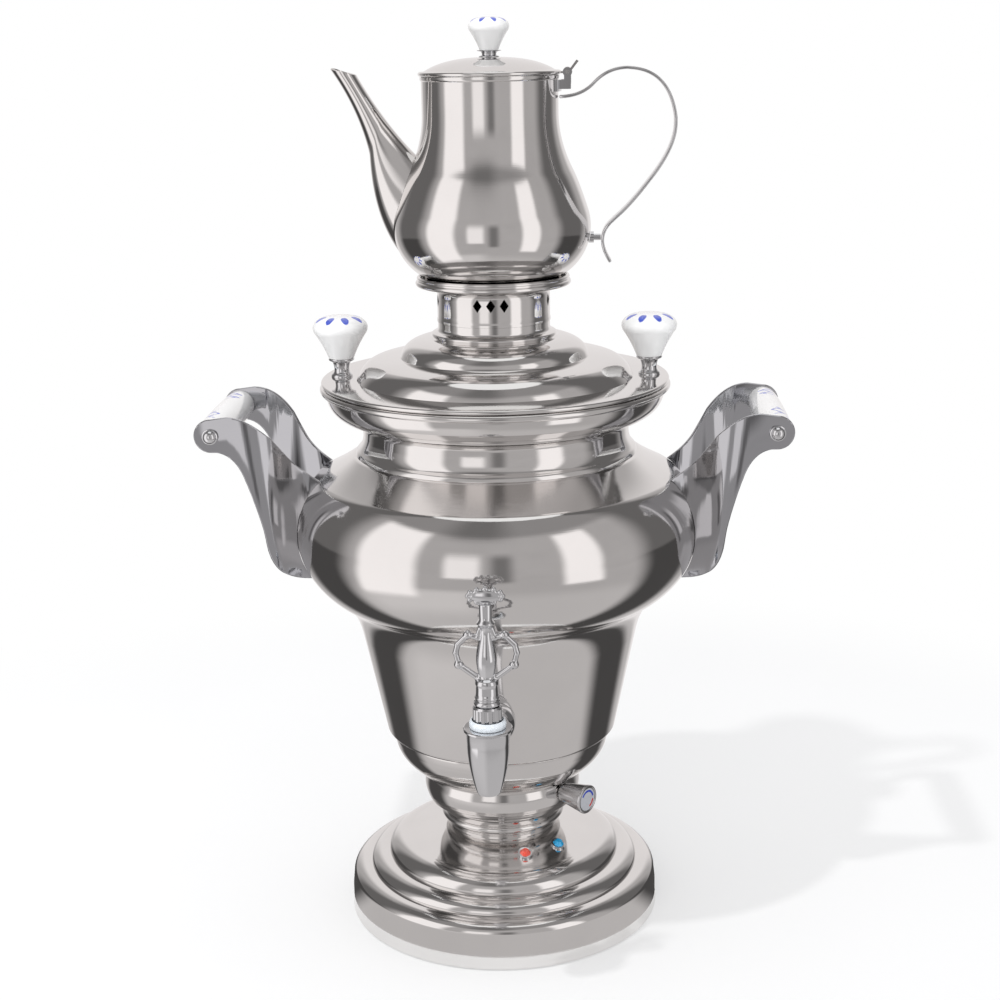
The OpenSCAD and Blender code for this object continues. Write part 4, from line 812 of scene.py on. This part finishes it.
def makeTap():
    t = tap
    reach, z, top, nose = t["reach"], t["z"], t["top"], t["nose"]
    toTap = Matrix.Translation((0, -reach, 0))
    flange, ring = t["flange"], tank["ringR"]
    out = ring + 17
    bm = bmesh.new()
    path = [(t["boreR"], nose + 6), (t["boreR"], nose), (t["noseR"] - 0.2, nose), (t["noseR"], nose + 0.3)]
    path += bendPath((t["noseR"] + 0.4, nose + 1), (flange - 1.7, nose + 17), (flange - 1.8, z + 12), 30)
    path += [(flange - 1.2, top - 2.4), (flange - 0.8, top - 1.9), (flange, top - 1.4), (flange, top - 0.9)]
    path += [(flange, top - 0.4), (flange - 0.25, top - 0.1), (flange - 0.6, top)]
    path += [(8.4, top), (8.4, top - 4)]
    spin(bm, path, 96, place=toTap)
    level = Matrix.Translation((0, -out - 0.2, z)) @ Matrix.Rotation(pi / 2, 4, "X")
    far = reach - out
    arm = [(0, 0), (9.4, 0), (9.7, 0.4), (9.8, 1), (9.7, 1.8), (9.4, 2.4)]
    arm += bendPath((8.2, 3), (7.2, 16), (8, far - 14), 16) + [(8, far - 6), (0, far - 6)]
    shell = set(bm.verts)
    spin(bm, arm, 72, place=level)
    for v in bm.verts:  # the arm's end is hollowed to clear the plug
        if v not in shell and v.co.y < 6 - reach:
            v.co.y = sqrt(t["plugClear"] ** 2 - v.co.x ** 2) - reach
    rod(bm, (0, -ring + 8, z), (0, -out - 1, z), t["shankR"], segments=48)
    dress(makeObject(bm, "tapBody"), chrome, "stand", ["tap_body"])
    bm = bmesh.new()
    seal = [(8.5, 0), (9.2, 0), (9.4, 0.15)] + bendPath((9.8, 0.4), (10.2, 3), (9.5, t["sealH"] - 1), 12)
    seal += [(9.2, t["sealH"] - 0.4), (8.8, t["sealH"] - 0.1), (8.5, t["sealH"] - 0.1)]
    spin(bm, seal, 96, True, Matrix.Translation((0, -reach, top)))
    dress(makeObject(bm, "tapSeal"), whiteRing, "stand", ["tap_seal"])


def makeKey():
    t = tap
    ringZ, urnZ, top = t["key"] + t["collarH"] + 0.3, t["key"] + 21.6, t["top"] + t["keyH"]
    bm = bmesh.new()
    path = [(0, ringZ + 0.1), (6.8, ringZ + 0.1), (7.4, ringZ + 1.2), (6.8, ringZ + 2.6), (5.9, ringZ + 3)]
    path += [(6.9, ringZ + 4.4), (6.1, ringZ + 5.8), (5.9, urnZ - 2.6), (6.4, urnZ - 1.6)]
    path += [(6.2, urnZ + 0.6), (4.2, urnZ + 2)]
    path += bendPath((4.2, urnZ + 3), (6.8, urnZ + 12), (4.4, urnZ + 20), 14)
    path += bendPath((4.2, urnZ + 21), (2, urnZ + 27), (3.6, urnZ + 30), 8)
    path += [(5.2, urnZ + 32), (3.4, urnZ + 34.5), (3.6, top - 9.4), (0, top - 9.4)]
    spin(bm, path, 64)
    halfW = t["halfW"]
    # the scroll's points: distance, height, wire's radius, bead's radius
    scroll = [(4, 1, 2, 2.3), (halfW - 3.4, 9, 1.7, 2.6), (halfW - 1.9, 15.5, 1.5, 1.75),
              (halfW - 3, 20, 1.6, 1.8), (9.6, 25.5, 1.7, 2.5), (4.6, 24, 1.6, 1.8), (2.6, 30, 1.5, 1.6)]
    for side in (-1, 1):
        for a, b in zip(scroll, scroll[1:]):
            rod(bm, (side * a[0], 0, urnZ + a[1]), (side * b[0], 0, urnZ + b[1]), b[2])
        for x, h, _, beadR in scroll:
            bead(bm, (side * x, 0, urnZ + h), beadR)
    bead(bm, (0, 0, top - 5.2), 1, 32, (8.4, 2.3, 3.9))
    for a in range(0, 360, 30):
        bead(bm, (9.2 * cos(radians(a)), 0, top - 5.2 + 4 * sin(radians(a))), 1.45)
    bmesh.ops.recalc_face_normals(bm, faces=bm.faces)
    bmesh.ops.translate(bm, vec=(0, -t["reach"], 0), verts=bm.verts)
    thing = makeObject(bm, "tapKey")
    melt = thing.modifiers.new("melt", "REMESH")
    melt.mode = "VOXEL"
    melt.voxel_size = 0.00034
    soft = thing.modifiers.new("soft", "SMOOTH")
    soft.iterations = 6
    soft.factor = 0.5
    baked(thing)
    dress(thing, chrome, "tap_key", ["tap_key"], 180)


# the thermostat's knob
knob = dict(bearing=53.0, start=48.2, z=82.8, long=18.0, faceR=8.8, discR=6.85, bandR=5.2)


def makeThermostatKnob():
    k = knob
    r, long = k["faceR"], k["long"]
    a = radians(k["bearing"] - 90)
    root = Matrix.Translation((k["start"] * cos(a), k["start"] * sin(a), k["z"]))
    place = root @ Matrix.Rotation(a, 4, "Z") @ Matrix.Rotation(pi / 2, 4, "Y")
    bm = bmesh.new()
    path = [(0, 0), (r * 0.62, 0), (r * 0.65, 0.2), (r * 0.66, 0.6), (r * 0.985, long - 1.6)]
    path += [(r, long - 1.1), (r - 0.1, long - 0.5), (r - 0.4, long - 0.15), (r - 0.9, long)]
    path += [(r - 1.2, long - 0.1), (r - 1.5, long - 0.35), (0, long - 0.35)]
    spin(bm, path, 96, place=place)
    thing = makeObject(bm, "thermostatKnob")
    f = Finish("knobMetal")
    face = onAxis @ place @ Vector((0, 0, long))
    out = (onAxis.to_3x3() @ place.to_3x3() @ Vector((0, 0, 1))).normalized()
    side = Vector((-out.y, out.x, 0)).normalized()
    spot = f.vector("SUBTRACT", f.place(), tuple(face))
    ways = (side, Vector((0, 0, 1)), out)
    u, v, deep = (f.vector("DOT_PRODUCT", spot, tuple(way * 1000), 1) for way in ways)
    fromMiddle = (u * u + v * v).do("SQRT")
    angle = v.do("ARCTAN2", u)
    onFace = deep.soft(-0.9, -0.6)
    disc = fromMiddle.soft(k["discR"] + 0.15, k["discR"] - 0.15) * onFace
    band = (fromMiddle - k["bandR"]).do("ABSOLUTE").soft(0.75, 0.55) * onFace
    blue = band * (angle > 0.15) * (angle < 2.6)
    red = band * (angle < -0.2) * (angle > -1.2)
    plated = f.mix(disc, (0.66, 0.66, 0.67, 1), (0.55, 0.56, 0.60, 1))
    tone = f.mix(blue, plated, (0.03, 0.07, 0.5, 1))
    tone = f.mix(red, tone, (0.6, 0.05, 0.04, 1))
    brushed = f.noise(f.joined(fromMiddle * 3, deep * 1.5, angle * 0.6), 1.2, 3.0)
    roughness = 0.16 + disc * 0.2 + (brushed - 0.5) * 0.1
    skin = f.close(Base_Color=tone, Metallic=1.0 - disc * 0.75, Roughness=roughness,
                   Normal=f.bump(brushed, 0.2, 0.00004))
    dress(thing, skin, "thermostat", ["thermostat_knob"])


# CAD pieces that stay as they are
plain = {
    "base_plate": zinc, "rubber_feet": rubber, "foot_screws": zinc, "cord_grommet": rubber,
    "terminal_block": creamPlastic, "red_lamp": redLens, "blue_lamp": blueLens, "lamp_bezels": chrome,
    "lamp_nuts": blackPlastic, "clamp_plate": zinc, "tie_stud": zinc, "tie_nut": zinc,
    "thermostat_body": creamPlastic, "thermostat_bush": zinc, "thermal_cutout": blackPlastic,
    "inner_leads": wireSleeve, "heater_element": sheath, "heater_seals": rubber, "heater_nuts": brass,
    "tap_escutcheon": chrome, "tap_washer": rubber, "tap_nut": brass, "tap_collar": chrome,
    "tap_plug": chrome, "grip_rods": zinc, "handle_bolts": chrome, "handle_nuts": chrome,
    "thermostat_spindle": zinc, "lid_screws": zinc, "handle_standoff": chrome, "hinge_bracket": chrome,
    "hinge_pin": zinc, "teapot_screw": zinc,
}


def dressNodes():
    for name, material in plain.items():
        thing = cadNodes[name]
        thing.data.materials.clear()
        thing.data.materials.append(material)
        thing.data.polygons.foreach_set("use_smooth", [True] * len(thing.data.polygons))
        weld = thing.modifiers.new("weld", "WELD")
        weld.merge_threshold = 1e-6
        split = thing.modifiers.new("split", "EDGE_SPLIT")
        split.split_angle = radians(32)


makeBase()
makePedestal()
makeTank()
makeLid()
makeStand()
print("shells made")
makePot()
makeSpout()
makeStrap()
makePotLid()
makeLidKnobs()
print("teapot and knobs made")
makeCheeks()
makeGrips()
makeTap()
makeKey()
makeThermostatKnob()
dressNodes()
print("handles, tap and small pieces made")


# floor, light and camera
def seen(tree):  # 1 for rays from the camera, from metal and through glass
    ray = tree.nodes.new("ShaderNodeLightPath")
    total = ray.outputs["Is Camera Ray"]
    for name in ("Is Glossy Ray", "Is Transmission Ray"):
        larger = tree.nodes.new("ShaderNodeMath")
        larger.operation = "MAXIMUM"
        tree.links.new(total, larger.inputs[0])
        tree.links.new(ray.outputs[name], larger.inputs[1])
        total = larger.outputs[0]
    return total


ground = dict(size=6, nearR=0.44, farR=0.66, glow=0.4)


def makeFloor():
    bm = bmesh.new()
    bmesh.ops.create_grid(bm, x_segments=1, y_segments=1, size=ground["size"])
    thing = makeObject(bm, "floor", False)
    f = Finish("paleFloor")
    x, y, _ = f.parts(f.place())
    far = (x * x + y * y).do("SQRT").soft(ground["nearR"], ground["farR"])
    tone = f.mix(f.noise(f.place(), 3.0, 2.0).soft(0.3, 0.7), (0.95, 0.95, 0.95, 1), (0.97, 0.97, 0.97, 1))
    lit = f.node("ShaderNodeBsdfDiffuse", None, {"Color": tone})
    white = f.node("ShaderNodeEmission", None, {"Color": (1, 1, 1, 1), "Strength": 1.0})
    glowing = far * (1 - ground["glow"]) + ground["glow"]
    mixed = f.node("ShaderNodeMixShader", None, {0: glowing * Wire(f, seen(f.tree)), 1: lit, 2: white})
    f.tree.links.new(mixed.out, f.out.inputs[0])
    thing.data.materials.append(f.material)


def makeWorld():
    world = bpy.data.worlds.new("studio")
    bpy.context.scene.world = world
    world.use_nodes = True
    tree = world.node_tree
    tree.nodes.clear()
    out = tree.nodes.new("ShaderNodeOutputWorld")
    mix = tree.nodes.new("ShaderNodeMixShader")
    tree.links.new(seen(tree), mix.inputs[0])
    for slot, colour, strength in ((1, (0.98, 0.985, 1, 1), 0.84), (2, (1, 1, 1, 1), 1.0)):
        sky = tree.nodes.new("ShaderNodeBackground")
        sky.inputs[0].default_value = colour
        sky.inputs[1].default_value = strength
        tree.links.new(sky.outputs[0], mix.inputs[slot])
    tree.links.new(mix.outputs[0], out.inputs[0])


tent = dict(holeR=0.0957, floorZ=0.003, r=1.9, wallZ=3.0, topR=1.2, topZ=3.5, cloth=0.44)


def makeTent():
    # a tent of grey cloth that only the metal sees, with two soft boxes and an opening at the back
    t = tent
    bm = bmesh.new()
    path = [(t["holeR"], t["floorZ"]), (t["r"], t["floorZ"]), (t["r"], t["wallZ"]), (t["topR"], t["topZ"])]
    spin(bm, path, 72)
    thing = makeObject(bm, "studioTent", False)
    f = Finish("tentCloth")
    x, y, z = f.parts(f.place())
    r = (x * x + y * y).do("SQRT")
    bearing = x.do("ARCTAN2", y * -1.0) * (180 / pi)
    side = bearing.do("ABSOLUTE")

    def span(value, low, high, edge):
        return value.soft(low - edge, low + edge) * value.soft(high + edge, high - edge)
    tone = t["cloth"] + f.noise(f.place(), 1.4, 2.0) * 0.06
    wall = z.soft(0.0, 0.1)
    patches = dict(  # where each tone lies, and the tone: a later one covers an earlier one
        nearFloor=(r.soft(0.5, 0.3), 0.56),
        leftFloor=(span(r, 0.2, 0.5, 0.08) * span(bearing, -75, -8, 12), 0.68),
        paleStrip=(span(bearing, -26, -7, 3) * r.soft(1.2, 1.4) * z.soft(1.2, 0.6), 1.0),
        darkStrip=(span(bearing, -1, 10, 4) * r.soft(0.75, 1.0) * z.soft(1.2, 0.7), 0.20),
        ceiling=(z.soft(1.9, 2.4), 0.30),
        darkTop=(span(bearing, -32, 8, 14) * z.soft(1.5, 2.5), 0.18),
        darkSides=(span(side, 88, 132, 9), 0.07 + wall * 0.08),
        opening=(side.soft(142, 156), 0.86),
        leftBox=(span(bearing, -78, -42, 4) * r.soft(0.32, 0.42) * z.soft(2.3, 1.9), 1.1),
        rightBox=(span(bearing, 38, 60, 3) * r.soft(0.55, 0.65) * z.soft(2.1, 1.8), 1.1))
    for mask, target in patches.values():
        tone = tone + mask * (target - tone)
    glow = f.node("ShaderNodeEmission", None, {0: f.joined(tone, tone * 0.965, tone * 0.96), 1: 1.0})
    f.tree.links.new(glow.out, f.out.inputs[0])
    thing.data.materials.append(f.material)
    for way in ("camera", "diffuse", "shadow", "transmission"):
        setattr(thing, "visible_" + way, False)


lamps = dict(
    key=dict(spot=(-0.66, -0.72, 2.0), aim=(0, 0, 0.1), size=0.08, power=11),
    fill=dict(spot=(-0.35, -1.7, 0.75), aim=(0, 0, 0.28), size=1.1, power=7))


def makeLight(name, spot, aim, size, power):
    data = bpy.data.lights.new(name, "AREA")
    data.shape = "DISK"
    data.size = size
    data.energy = power
    thing = bpy.data.objects.new(name, data)
    thing.location = spot
    thing.rotation_euler = (Vector(aim) - Vector(spot)).to_track_quat("-Z", "Y").to_euler()
    bpy.context.scene.collection.objects.link(thing)
    thing.visible_glossy = False


camera = dict(lens=62.82, side=3, tip=14.9, roll=-1.04, away=1.0, height=0.523, right=0.0016)


def makeCamera():
    c = camera
    data = bpy.data.cameras.new("camera")
    data.lens = c["lens"]
    data.sensor_width = 36
    data.clip_start = 0.01
    thing = bpy.data.objects.new("camera", data)
    bpy.context.scene.collection.objects.link(thing)
    side, tip, roll = radians(c["side"]), radians(c["tip"]), radians(c["roll"])
    right = Vector((cos(side), sin(side), 0))
    back = Vector((sin(side), -cos(side), 0))
    eye = Vector((0, axisY, c["height"])) + back * c["away"] + right * c["right"]
    away = (back * cos(tip) + Vector((0, 0, 1)) * sin(tip)).normalized()
    up = away.cross(right).normalized()
    turn = Matrix((right, up, away)).transposed().to_4x4()
    thing.matrix_world = Matrix.Translation(eye) @ turn @ Matrix.Rotation(roll, 4, "Z")
    bpy.context.scene.camera = thing


makeFloor()
makeWorld()
makeTent()
for lampName, settings in lamps.items():
    makeLight(lampName, **settings)
makeCamera()
bpy.context.scene.view_settings.view_transform = "Standard"
print("stage set")
